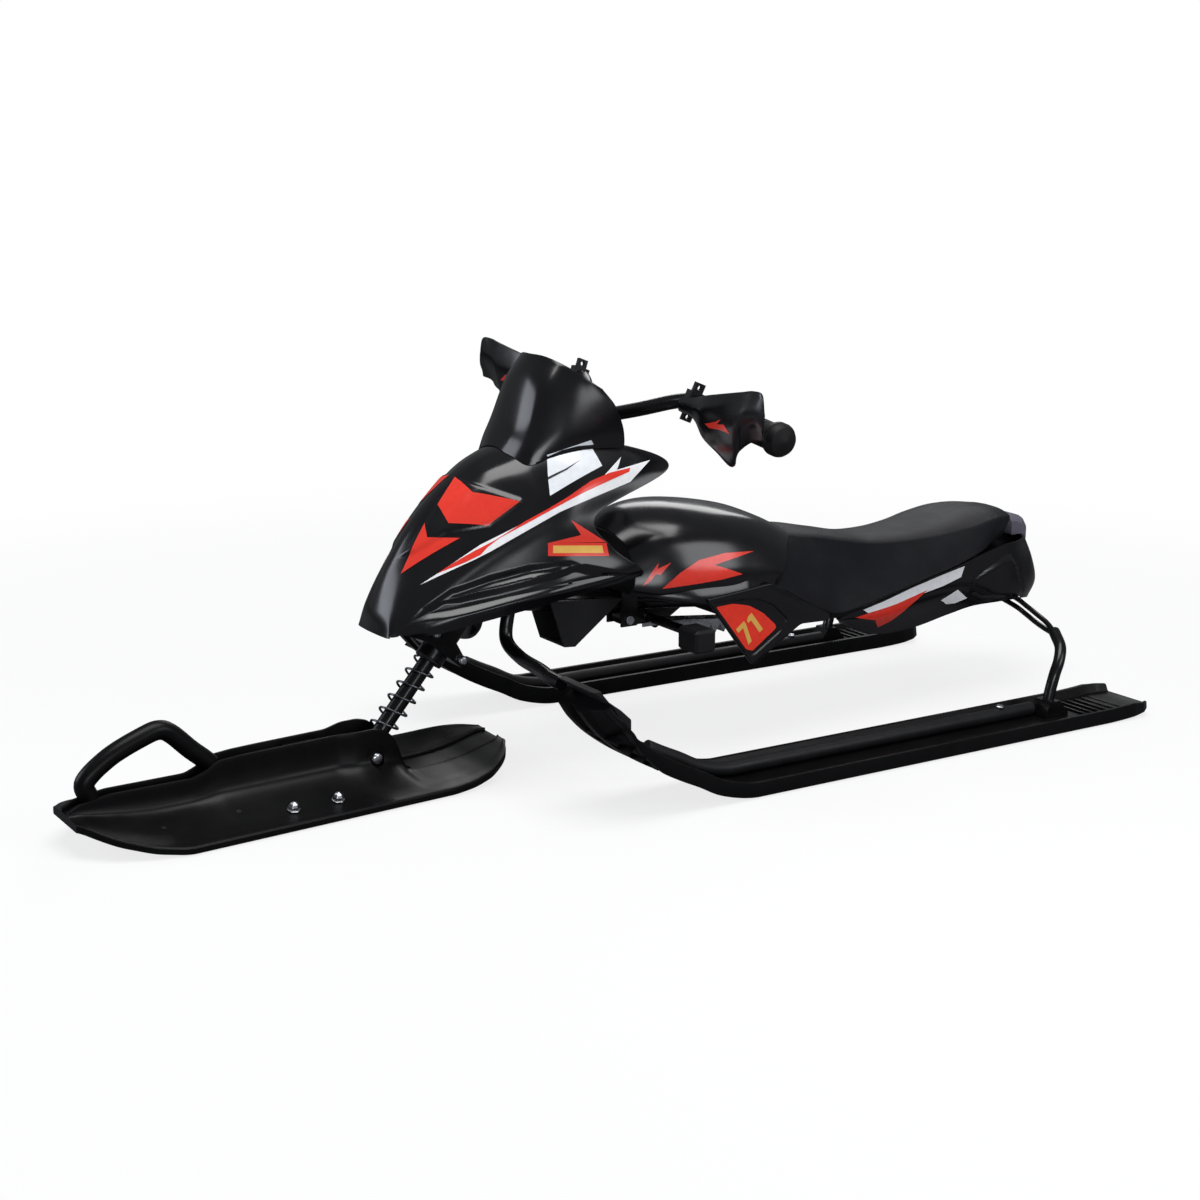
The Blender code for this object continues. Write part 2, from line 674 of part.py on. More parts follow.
def handguards():
    """Each guard is a thin shell in front of the grip. A clamp on the bar with two drilled tabs holds it."""
    left = [[Vector(p) for p in column] for column in guard_columns]
    for side, label in ((1, "left"), (-1, "right")):
        control = left if side == 1 else [mirrored(column) for column in left]
        lines = [smooth_path(column, 1) for column in control]
        lines = [list(line) for line in zip(*[smooth_path(row, 1) for row in zip(*lines)])]
        on_bars(shell(label + "_handguard", lines, gloss_black, guard_wall))
        y = 0.1085
        place = on_bar(y)
        turn = bar_out.to_track_quat("Z", "X").to_matrix().to_4x4() @ Matrix.Rotation(tab_lean, 4, "Z")
        clamp = block(label + "_guard_clamp", (-0.0110, -0.0096, -0.0045), (0.0110, 0.0096, 0.0045),
                      matte_black)
        tab = block("clamp_tab", (-0.0205, -0.0060, -0.0022), (0.0205, 0.0060, 0.0022), matte_black)
        cut(clamp, tab, "UNION")
        holes = [bore("clamp_bore", (0, 0, 0), (0, 0, 1), bar_radius, -0.02, 0.02)]
        for high in (0.0157, -0.0157):
            holes.append(pin("tab_hole", (high, 0, 0), (0, 0, 1), 0.0028, -0.02, 0.02, zinc, 8))
        for hole in holes:
            cut(clamp, hole)
        for piece in (clamp, tab, *holes):
            piece.data.transform(Matrix.Translation(place) @ turn)
            if side == -1:
                piece.data.transform(Matrix.Scale(-1.0, 4, (0, 1, 0)))
                piece.data.flip_normals()
            on_bars(piece)
        nose = pin("guard_boss", (place.x, side * place.y, place.z - 0.002), (1, 0, 0), 0.0042, 0.0085, 0.030,
                   matte_black, 8)
        cut(clamp, nose, "UNION")
        cutter = keep_inside(clamp, "guard_trim", lines, 0.03, guard_wall + 0.0008)
        on_bars(nose, cutter)


# Rear ski underside, from the tail to the turned-up tip: (x, z)
track_line = [(-0.588, 0.0055), (-0.5605, 0.0018), (-0.5215, 0.0), (-0.470, 0.0), (-0.400, 0.0), (-0.272, 0.0),
              (-0.160, 0.0), (-0.100, 0.0), (-0.060, 0.0), (-0.0235, 0.0008), (0.012, 0.0095),
              (0.039, 0.0230), (0.063, 0.0345), (0.091, 0.0500), (0.120, 0.0710), (0.139, 0.0900),
              (0.152, 0.1075)]
track_widths = [(-0.588, 0.80), (-0.578, 0.95), (-0.5605, 1.0), (0.141, 1.0), (0.152, 0.93)]
track_heights = [(-0.588, 0.55), (-0.5605, 1.0), (0.152, 1.0)]

# Its outer lower edge and its deck rise towards the tip
track_rims = [(0.075, 0.0), (0.096, 0.0047), (0.109, 0.0074), (0.119, 0.011), (0.127, 0.014), (0.142, 0.0145),
              (0.152, 0.012)]
track_decks = [(0.090, ski_deck), (0.109, 0.012), (0.119, 0.0155), (0.127, 0.0185), (0.152, 0.0190)]


def track_points(steps):
    """Points along a rear ski's underside, each with its direction and the way up, square to the ski."""
    curve = smooth_path([(x, 0.0, z) for x, z in track_line], steps)
    line = [Vector((p.x, 0.0, max(p.z, 0.0))) for p in curve]
    found = []
    for i, point in enumerate(line):
        ahead = (line[min(i + 1, len(line) - 1)] - line[max(i - 1, 0)]).normalized()
        found.append((point, Vector((-ahead.z, 0.0, ahead.x))))
    return found


def track_section(half, tall, rim, deck):
    """The ski's section from its inner edge (negative) to its outer edge, with two grooves underneath."""
    k = half / ski_half
    flange = ski_flange * tall
    lip = (ski_flange + 0.003) * (0.5 + 0.5 * tall)
    groove = ski_groove * tall
    deck = deck * (0.4 + 0.6 * tall)
    edge = max(flange, rim + 0.004)
    return [
        (-half + 0.0015, 0.0), (-half + 0.013 * k, 0.0), (-half + 0.0145 * k, groove), (-0.0075 * k, groove),
        (-0.006 * k, 0.0), (0.006 * k, 0.0), (0.0075 * k, groove),
        (half - 0.0145 * k, max(groove, rim - 0.001)),
        (half - 0.013 * k, rim), (half - 0.0015, rim), (half, rim + 0.0015), (half, edge),
        (half - 0.0045 * k, edge), (half - 0.007 * k, deck), (-half + 0.009 * k, deck),
        (-half + 0.0055 * k, max(lip, deck)), (-half, max(lip, deck)), (-half, 0.0015),
    ]


def track_tops(steps, extra):
    """Points (x, z) over the middle of a rear ski's deck, lifted square to the ski."""
    found = []
    for point, up in track_points(steps):
        spot = point + up * (along(track_decks, point.x) + extra)
        found.append((spot.x, spot.z))
    return found


def rear_skis():
    """Two fixed rear skis, each with a rail tube on its deck and a foot block on the turned-up front."""
    for side, label in ((1, "left"), (-1, "right")):
        rings = []
        for point, up in track_points(2):
            half = ski_half * along(track_widths, point.x)
            tall = along(track_heights, point.x)
            ring = []
            for s, n in track_section(half, tall, along(track_rims, point.x), along(track_decks, point.x)):
                spot = point + up * n
                ring.append(Vector((spot.x, side * (track_half + s), spot.z)))
            rings.append(ring)
        loft(label + "_rear_ski", rings, ski_black)
        y = side * (track_half + rail_offset)
        high = ski_deck + rail_radius + seat_gap
        rail = [Vector((-0.448, y, high)), Vector((-0.24, y, high)), Vector((-0.064, y, high))]
        rail += [Vector((x, y, z)) for x, z in track_tops(2, rail_radius + seat_gap) if -0.058 < x < 0.070]
        tube(label + "_rail", rail, rail_radius, matte_black, 10)
        screw(label + "_rail_screw", (-0.401, y, high + rail_radius), (0, 0, 1), 0.005)
        tops = track_tops(2, seat_gap)
        under = [(x, z) for x, z in tops if foot_rear < x < foot_front]
        under = [(foot_rear, along(tops, foot_rear))] + under
        outline = [(foot_front, 0.1355), (0.146, 0.1345), (0.1425, 0.1260), (0.1234, 0.1118),
                   (foot_rear, 0.1011)] + under
        inner = side * (track_half - ski_half + 0.0095)
        outer = side * (track_half + ski_half - 0.0095)
        prism(label + "_footrest", outline, min(inner, outer), max(inner, outer), matte_black, 0.0012)


def rear_hoop_path():
    """The left leg of the rear hoop, from its bend down to its foot on the ski."""
    wide = track_half
    return smooth_path([(-0.5010, wide * 0.84, 0.0935), (-0.4980, wide * 0.87, 0.0908),
                        (-0.4900, wide * 0.95, 0.0815), (-0.4810, wide * 0.99, 0.0690),
                        (-0.4735, wide, 0.0550), (-0.4680, wide, 0.0370), (-0.4650, wide, 0.0240),
                        (-0.4645, wide, ski_deck + 0.0015)], 2)


def hoop_arm_path(lift):
    """One of the twin arms between the middle of the hoop and its bend, lifted above or below their line."""
    wide = track_half
    return smooth_path([(-0.5365, wide * 0.04, 0.1120 + lift * 0.2), (-0.5385, wide * 0.14, 0.1095 + lift * 0.8),
                        (-0.5370, wide * 0.33, 0.1035 + lift), (-0.5260, wide * 0.48, 0.1010 + lift),
                        (-0.5145, wide * 0.625, 0.0985 + lift), (-0.5065, wide * 0.75, 0.0955 + lift * 0.8),
                        (-0.4990, wide * 0.86, 0.0917 + lift * 0.1)], 1)


def frame_tubes():
    """The backbone from the head to the rear hoop, and the two hoops that stand on the rear skis."""
    spine = smooth_path([(x, 0, z) for x, z in backbone_line], 1)
    backbone = tube("backbone", spine, backbone_radius, frame_black, 14)
    socket = pin("head_socket", (0, 0, 0), (0, 0, 1), head_radius + seat_gap, head_low - 0.03,
                 head_low + head_length + 0.03, sides=20)
    lean(socket)
    cut(backbone, socket)
    hoop_x = 0.120
    over = backbone_height(hoop_x) + backbone_radius + hoop_radius + seat_gap + 0.0005
    inside = track_half - ski_half + 0.0095 - seat_gap
    left = smooth_path([(hoop_x, 0.0, over), (hoop_x + 0.001, 0.014, over - 0.0025),
                        (0.126, 0.0265, over - 0.014), (0.134, 0.030, over - 0.032),
                        (0.138, 0.035, 0.1400), (0.137, 0.062, 0.1278),
                        (0.143, inside * 0.66, 0.1274), (0.149, inside * 0.84, 0.1274),
                        (0.151, inside * 0.93, 0.1274)], 2)
    left.append(Vector((0.151, inside, 0.1274)))
    tube("front_hoop", mirrored(reversed(left[1:])) + left, hoop_radius, frame_black, 12)
    middle = [Vector((-0.5365, share * track_half, 0.1120)) for share in (-0.09, -0.03, 0.03, 0.09)]
    hoop = tube("rear_hoop", middle, rear_hoop_radius, frame_black, 12)
    low = ski_deck + seat_gap
    for side in (1, -1):
        parts = []
        for lift in (arm_apart, -arm_apart):
            way = hoop_arm_path(lift) if side == 1 else mirrored(hoop_arm_path(lift))
            parts.append(tube("hoop_arm", way, arm_radius, frame_black, 8))
        way = rear_hoop_path() if side == 1 else mirrored(rear_hoop_path())
        parts.append(tube("hoop_leg", way, rear_hoop_radius, frame_black, 12))
        y = sorted((side * (track_half - 0.0115), side * (track_half + 0.0125)))
        parts.append(prism("hoop_foot", [(-0.4845, low), (-0.4505, low), (-0.4505, low + 0.003), (-0.4575, 0.0270),
                                         (-0.4715, 0.0270), (-0.4845, low + 0.003)], y[0], y[1], frame_black))
        for extra in parts:
            cut(hoop, extra, "UNION")


# Cowl: lines from the middle of the nose outwards and down, each from the nose lip to the rear edge
cowl_control = [
    [(0.275, 0, 0.160), (0.2705, 0, 0.185), (0.253, 0, 0.226), (0.2175, 0, 0.276), (0.171, 0, 0.316),
     (0.134, 0, 0.3345), (0.1035, 0, 0.340), (0.0705, 0, 0.340)],
    [(0.2725, 0.031, 0.1595), (0.2665, 0.024, 0.186), (0.249, 0.0165, 0.225), (0.2145, 0.014, 0.2745),
     (0.1685, 0.016, 0.3145), (0.1315, 0.022, 0.332), (0.1005, 0.030, 0.339), (0.0645, 0.034, 0.340)],
    [(0.2695, 0.036, 0.161), (0.2585, 0.038, 0.187), (0.2385, 0.036, 0.222), (0.2045, 0.036, 0.265),
     (0.1635, 0.040, 0.304), (0.1235, 0.048, 0.322), (0.0785, 0.056, 0.338), (0.0065, 0.062, 0.334)],
    [(0.2655, 0.042, 0.163), (0.2485, 0.050, 0.185), (0.2235, 0.056, 0.212), (0.1915, 0.063, 0.238),
     (0.1535, 0.070, 0.264), (0.1135, 0.077, 0.287), (0.0635, 0.083, 0.307), (-0.024, 0.088, 0.312)],
    [(0.2625, 0.044, 0.1635), (0.2435, 0.055, 0.182), (0.2165, 0.063, 0.204), (0.1845, 0.071, 0.226),
     (0.1485, 0.079, 0.247), (0.1135, 0.086, 0.263), (0.0885, 0.090, 0.270), (0.0645, 0.092, 0.273)],
    [(0.2595, 0.046, 0.1635), (0.2385, 0.059, 0.177), (0.2105, 0.069, 0.193), (0.1785, 0.078, 0.209),
     (0.1435, 0.086, 0.224), (0.1085, 0.093, 0.234), (0.0785, 0.097, 0.238), (0.0515, 0.099, 0.240)],
    [(0.2565, 0.047, 0.163), (0.2345, 0.062, 0.171), (0.2045, 0.075, 0.182), (0.1715, 0.087, 0.193),
     (0.1355, 0.097, 0.203), (0.0985, 0.103, 0.210), (0.0585, 0.105, 0.213), (0.0185, 0.103, 0.215)],
    [(0.2545, 0.044, 0.1605), (0.2305, 0.060, 0.164), (0.2005, 0.072, 0.1715), (0.1665, 0.084, 0.1795),
     (0.1305, 0.093, 0.1870), (0.0935, 0.098, 0.1940), (0.0535, 0.099, 0.2000), (0.0105, 0.094, 0.2045)],
]

# Windshield: lines from the middle round to the side, each from its foot on the cowl to the upper edge
screen_control = [
    [(0.1345, 0, 0.3310), (0.1265, 0, 0.345), (0.117, 0, 0.363),
     (0.103, 0, 0.403), (0.088, 0, 0.428)],
    [(0.1325, 0.024, 0.3295), (0.1245, 0.026, 0.345), (0.115, 0.026, 0.363),
     (0.1005, 0.025, 0.402), (0.084, 0.022, 0.427)],
    [(0.1240, 0.048, 0.3205), (0.1170, 0.048, 0.340), (0.108, 0.046, 0.361),
     (0.092, 0.044, 0.398), (0.076, 0.040, 0.4215)],
    [(0.1005, 0.0575, 0.3230), (0.0940, 0.0585, 0.342), (0.087, 0.058, 0.360),
     (0.075, 0.055, 0.390), (0.066, 0.049, 0.4145)],
    [(0.0600, 0.0625, 0.3275), (0.0580, 0.0645, 0.344), (0.056, 0.064, 0.360),
     (0.0535, 0.061, 0.384), (0.0545, 0.056, 0.406)],
    [(0.0150, 0.0645, 0.3290), (0.0155, 0.0665, 0.343), (0.018, 0.0665, 0.358),
     (0.0260, 0.065, 0.378), (0.0390, 0.062, 0.3945)],
]

# Tank cover: lines from the middle outwards and down, each from front to rear
tank_control = [
    [(0.0085, 0, 0.240), (-0.0215, 0, 0.258), (-0.0615, 0, 0.263), (-0.1065, 0, 0.259), (-0.1515, 0, 0.250),
     (-0.1845, 0, 0.2375), (-0.2125, 0, 0.2235)],
    [(0.0065, 0.030, 0.236), (-0.0235, 0.034, 0.252), (-0.0615, 0.040, 0.257), (-0.1065, 0.043, 0.253),
     (-0.1515, 0.044, 0.243), (-0.1845, 0.0435, 0.232), (-0.2125, 0.0415, 0.2185)],
    [(0.0025, 0.052, 0.222), (-0.0255, 0.062, 0.234), (-0.0615, 0.070, 0.238), (-0.1065, 0.074, 0.234),
     (-0.1465, 0.0742, 0.2255), (-0.1715, 0.072, 0.2175), (-0.1925, 0.0695, 0.2085)],
    [(0.0005, 0.062, 0.200), (-0.0275, 0.074, 0.208), (-0.0615, 0.083, 0.210), (-0.1015, 0.088, 0.207),
     (-0.1365, 0.088, 0.202), (-0.1615, 0.087, 0.196), (-0.1795, 0.085, 0.190)],
    [(0.0025, 0.064, 0.184), (-0.0255, 0.078, 0.181), (-0.0615, 0.088, 0.184), (-0.0985, 0.0925, 0.1870),
     (-0.1285, 0.092, 0.1845), (-0.1485, 0.091, 0.1815), (-0.1635, 0.0895, 0.1775)],
    [(0.0045, 0.060, 0.176), (-0.0235, 0.072, 0.171), (-0.0615, 0.082, 0.171), (-0.0955, 0.089, 0.1685),
     (-0.1245, 0.0905, 0.1665), (-0.1445, 0.0905, 0.1650), (-0.1600, 0.0895, 0.1630)],
]

# Tail cover: lines from the upper edge down to the lower edge, each from the front round to the tail's middle
tail_control = [
    [(-0.2535, 0.084, 0.1225), (-0.3215, 0.084, 0.1375), (-0.3815, 0.082, 0.1515), (-0.4315, 0.080, 0.1615),
     (-0.4640, 0.079, 0.1700), (-0.5015, 0.075, 0.1765), (-0.5415, 0.062, 0.1770), (-0.5700, 0.040, 0.1770),
     (-0.5765, 0.0, 0.1770)],
    [(-0.2560, 0.083, 0.1195), (-0.3215, 0.083, 0.1180), (-0.3815, 0.080, 0.1270), (-0.4315, 0.0785, 0.1360),
     (-0.4640, 0.0780, 0.1420), (-0.5015, 0.0765, 0.1490), (-0.5450, 0.0670, 0.1520), (-0.5800, 0.045, 0.1500),
     (-0.5900, 0.0, 0.1500)],
    [(-0.2600, 0.078, 0.1170), (-0.3215, 0.072, 0.1010), (-0.3815, 0.069, 0.1050), (-0.4315, 0.071, 0.1140),
     (-0.4640, 0.0745, 0.1210), (-0.5015, 0.0765, 0.1265), (-0.5425, 0.0725, 0.1260), (-0.5830, 0.049, 0.1240),
     (-0.5950, 0.0, 0.1240)],
    [(-0.2640, 0.074, 0.1150), (-0.3215, 0.063, 0.0920), (-0.3815, 0.059, 0.0900), (-0.4315, 0.065, 0.1010),
     (-0.4640, 0.071, 0.1085), (-0.5015, 0.0750, 0.1100), (-0.5400, 0.0715, 0.1090), (-0.5740, 0.046, 0.1020),
     (-0.5880, 0.0, 0.0960)],
]

# Seat sections: x at the top and bottom, z at the top and bottom, half widths there, and the underside's
# height
seat_control = [
    (-0.2000, -0.1500, 0.2165, 0.1640, 0.040, 0.084, 0.1700),
    (-0.2150, -0.1680, 0.2165, 0.1640, 0.047, 0.0875, 0.1700),
    (-0.2350, -0.1950, 0.2140, 0.1480, 0.053, 0.089, 0.1610),
    (-0.2535, -0.2245, 0.2120, 0.1320, 0.056, 0.090, 0.1600),
    (-0.2915, -0.2535, 0.2040, 0.1240, 0.056, 0.090, 0.1575),
    (-0.3365, -0.3135, 0.1955, 0.1370, 0.051, 0.090, 0.1560),
    (-0.3865, -0.3815, 0.1945, 0.1530, 0.054, 0.088, 0.1610),
    (-0.4315, -0.4315, 0.1980, 0.1630, 0.060, 0.085, 0.1700),
    (-0.4715, -0.4665, 0.2045, 0.1720, 0.065, 0.080, 0.1780),
    (-0.5115, -0.4965, 0.2105, 0.1785, 0.060, 0.066, 0.1830),
    (-0.5450, -0.5265, 0.2080, 0.1790, 0.044, 0.048, 0.1835),
]


def cowl_lines(length_steps, width_steps):
    half = [[Vector(p) for p in line] for line in cowl_control]
    return cover_lines(full_width(half), length_steps, width_steps)


def screen_lines(length_steps, width_steps):
    half = [[Vector(p) for p in line] for line in screen_control]
    return cover_lines(full_width(half), length_steps, width_steps)


def tank_lines(length_steps, width_steps):
    half = [[Vector(p) for p in line] for line in tank_control]
    return cover_lines(full_width(half), length_steps, width_steps)


def tail_lines(length_steps, width_steps):
    half = [[Vector(p) for p in line] for line in tail_control]
    whole = [line[:-1] + [line[-1]] + mirrored(reversed(line[:-1])) for line in half]
    return cover_lines(whole, length_steps, width_steps)


def cowl():
    """The nose cowl, its windshield, and the brackets that carry it."""
    lines = cowl_lines(2, 1)
    shell("nose_cowl", lines, gloss_black)
    screen = shell("windshield", screen_lines(1, 2), gloss_black, 0.0022)
    bed = sheet("screen_bed", lines, gloss_black)
    thicken(bed, seat_gap + 0.0005, 0.007)
    cut(screen, bed)
    reach = head_radius + 0.0072
    bracket = prism("nose_bracket", [(-0.0245, 0.0885), (0.029, 0.0885), (0.029, 0.1265), (0.0045, 0.1265),
                                     (-0.0030, 0.1060), (-0.0175, 0.1000), (-0.0245, 0.0985)],
                    -reach, reach, frame_black)
    socket = pin("clamp_socket", (0, 0, 0), (0, 0, 1), head_radius + seat_gap, 0.05, 0.20, sides=20)
    spine = spine_cutter("clamp_spine", 0.03, 0.168, 0.0008)
    lean(bracket, socket)
    for side in (1, -1):
        y = sorted((side * (reach - 0.003), side * reach))
        plate = prism("bracket_plate", [(0.184, 0.154), (0.191, 0.142), (0.200, 0.138), (0.275, 0.1685),
                                        (0.275, 0.1865), (0.196, 0.170), (0.180, 0.166)],
                      y[0], y[1], frame_black)
        cut(bracket, plate, "UNION")
    cut(bracket, socket)
    cut(bracket, spine)
    keep_inside(bracket, "bracket_trim", lines)
    out = reach + seat_gap
    half = [(screw_radius, out), (0.0050, out), (0.0050, out + 0.004), (0.0035, out + 0.0055),
            (0.0, out + 0.006)]
    profile = [(radius, -height) for radius, height in reversed(half)] + half
    for ahead, up, label in ((0.0235, 0.1010, "front"), (-0.0195, 0.0950, "rear")):
        hole = pin("bracket_bore", (ahead, 0, up), (0, 1, 0), screw_radius + seat_gap, -0.04, 0.04)
        bolt = turned(label + "_bracket_bolt", profile, (ahead, 0, up), (0, 1, 0), zinc, 8)
        lean(hole, bolt)
        cut(bracket, hole)
    x = 0.100
    low = backbone_height(x)
    outline = [(0.020, low), (0.020, 0.1975), (0.115, 0.1975), (0.115, 0.2095)]
    outline += [(-y, z) for y, z in reversed(outline)]
    brace = slab("cowl_brace", outline, x - 0.002, x + 0.002, frame_black)
    spine = spine_cutter("brace_spine", x - 0.02, x + 0.02, 0.0006)
    cut(brace, spine)
    keep_inside(brace, "brace_trim", lines, 0.04)


def tank():
    """The tank cover on its saddle, with a bulkhead across its front."""
    lines = tank_lines(2, 1)
    shell("tank_cover", lines, gloss_black)
    x = -0.100
    base = backbone_height(x)
    saddle = block("tank_saddle", (x - 0.006, -0.086, base - 0.004), (x + 0.006, 0.086, base + 0.112),
                   matte_black)
    arch = block("saddle_arch", (x - 0.02, -0.055, base + backbone_radius + 0.014),
                 (x + 0.02, 0.055, base + 0.073), matte_black)
    spine = spine_cutter("saddle_spine", x - 0.03, x + 0.03, seat_gap + 0.0002)
    cut(saddle, arch)
    cut(saddle, spine)
    keep_inside(saddle, "saddle_trim", lines, 0.05)
    front = -0.004
    rest = backbone_height(front) + backbone_radius + seat_gap + 0.0002
    plate = block("tank_bulkhead", (front - 0.0015, -0.060, rest), (front + 0.0015, 0.060, 0.262),
                  matte_black)
    keep_inside(plate, "bulkhead_trim", lines, 0.05)


def side_panels():
    """The number panels below the tank, carried by a rod under the backbone, and the belly pan."""
    outline = [(-0.0675, 0.170), (-0.129, 0.090), (-0.192, 0.128), (-0.231, 0.127), (-0.231, 0.135),
               (-0.1925, 0.154), (-0.1525, 0.178)]
    low, high = 0.0935, 0.0985
    rod_x = -0.165
    rod_z = backbone_height(rod_x) - backbone_radius - 0.0045 - seat_gap
    for side, label in ((1, "left"), (-1, "right")):
        y = sorted((side * low, side * high))
        prism(label + "_number_panel", outline, y[0], y[1], gloss_black, 0.001)
    pin("panel_rod", (rod_x, 0, rod_z), (0, 1, 0), 0.0045, -low + seat_gap, low - seat_gap, frame_black, 10)
    profile = [(0.0805, 0.1720), (0.0635, 0.1205), (0.0505, 0.1195), (-0.0095, 0.1650)]
    pan = prism("belly_pan", profile, -0.026, 0.026, matte_black)
    hollow = prism("pan_hollow", [(0.100, 0.185), (0.0700, 0.1150), (0.0640, 0.1230), (0.0510, 0.1225),
                                  (0.0200, 0.1450), (0.0200, 0.185)], -0.0235, 0.0235, matte_black)
    spine = spine_cutter("pan_spine", -0.03, 0.10, 0.0006)
    cut(pan, hollow)
    cut(pan, spine)


def seat_section(station):
    """A ring round the seat: a crowned top, sides that flare and draw in at the hem, a recess underneath."""
    x_top, x_low, z_top, z_low, half_top, half_low, under = station
    outline = [(0.0, 1.0, seat_crown), (0.50, 1.0, seat_crown * 0.8), (0.84, 1.0, seat_crown * 0.15),
               (1.0, 0.90, 0.0)]
    ring = []
    for share, height, lift in outline:
        ring.append((half_top * share, height, z_low + (z_top - z_low) * height + lift - seat_crown * 0.5))
    middle = 0.42
    half_middle = half_low + (half_top - half_low) * middle + 0.0015
    ring.append((half_middle, middle, z_low + (z_top - z_low) * middle))
    ring.append((half_low, 0.08, z_low + (z_top - z_low) * 0.08))
    ring.append((half_low - 0.005, 0.0, z_low))
    ring.append((half_low - 0.011, 0.0, z_low + 0.0005))
    rise = (under - z_low) / (z_top - z_low)
    ring.append((half_low - 0.0125, rise, under))
    ring.append((0.0, rise, under))
    points = [Vector((x_low + (x_top - x_low) * share, y, z)) for y, share, z in ring]
    return points + mirrored(reversed(points[1:-1]))


def seat():
    """The cushion over its base plate, and the two supports on the backbone that carry the base."""
    rings = [seat_section(station) for station in seat_control]
    smooth = [smooth_path(line, 2) for line in zip(*rings)]
    rings = [list(ring) for ring in zip(*smooth)]
    loft("seat_cushion", rings, seat_vinyl)

    def plate_rings(top, bottom):
        found = []
        for x_top, x_low, z_top, z_low, half_top, half_low, under in seat_control:
            rise = (under - z_low) / (z_top - z_low)
            x = x_low + (x_top - x_low) * rise
            half = half_low - 0.0145
            found.append([Vector((x, half, under - top)), Vector((x, half, under - bottom)),
                          Vector((x, -half, under - bottom)), Vector((x, -half, under - top))])
        smooth_lines = [smooth_path(line, 2) for line in zip(*found)]
        return [list(ring) for ring in zip(*smooth_lines)]

    loft("seat_base", plate_rings(0.0006, 0.0056)[1:-1], matte_black)
    x = -0.440
    base = backbone_height(x)
    hem = 0.1570
    outline = [(0.078, base - 0.010), (0.078, hem), (0.060, hem), (0.060, base + 0.060)]
    outline += [(-y, z) for y, z in reversed(outline)]
    post = slab("seat_support", outline, x - 0.005, x + 0.005, matte_black)
    spine = spine_cutter("support_spine", x - 0.03, x + 0.03, 0.0008)
    over = loft("base_cutter", plate_rings(-0.05, 0.0059), matte_black)
    cut(post, spine)
    cut(post, over)
    keep_inside(post, "support_trim", tail_lines(1, 1), 0.03)


# Tail cap from side to side: y, how far it reaches back, how high its crown is, how deep its lip hangs
cap_plan = [(-0.034, 0.42, 0.72, 0.05), (-0.030, 0.60, 0.88, 0.15), (-0.022, 0.80, 0.97, 0.50),
            (-0.011, 0.95, 1.0, 1.0), (0.0, 1.0, 1.0, 1.0), (0.011, 0.95, 1.0, 1.0),
            (0.022, 0.80, 0.97, 0.50), (0.030, 0.60, 0.88, 0.15), (0.034, 0.42, 0.72, 0.05)]


def tail():
    """The tail cover below the seat, and its smoky cap."""
    lines = tail_lines(1, 1)
    cover = shell("tail_cover", lines, gloss_black)
    for side in (1, -1):
        for lift in (arm_apart, -arm_apart):
            way = hoop_arm_path(lift) if side == 1 else mirrored(hoop_arm_path(lift))
            notch = tube("tail_notch", way, arm_radius + 0.0015, zinc, 10)
            cut(cover, notch)
    bed = 0.177 + seat_gap
    outline = [(-0.5565, 0.2005), (-0.5740, 0.1995), (-0.5910, 0.1945), (-0.6000, 0.1830), (-0.6000, 0.1560),
               (-0.5955, 0.1560), (-0.5925, bed), (-0.5560, bed)]
    rings = []
    for y, reach, crown, lip in cap_plan:
        ring = []
        for x, z in outline:
            high = (z - bed) * (crown if z > bed else lip)
            ring.append(Vector((-0.5560 + (x + 0.5560) * reach, y, bed + high)))
        rings.append(ring)
    loft("tail_cap", rings, smoke_grey)


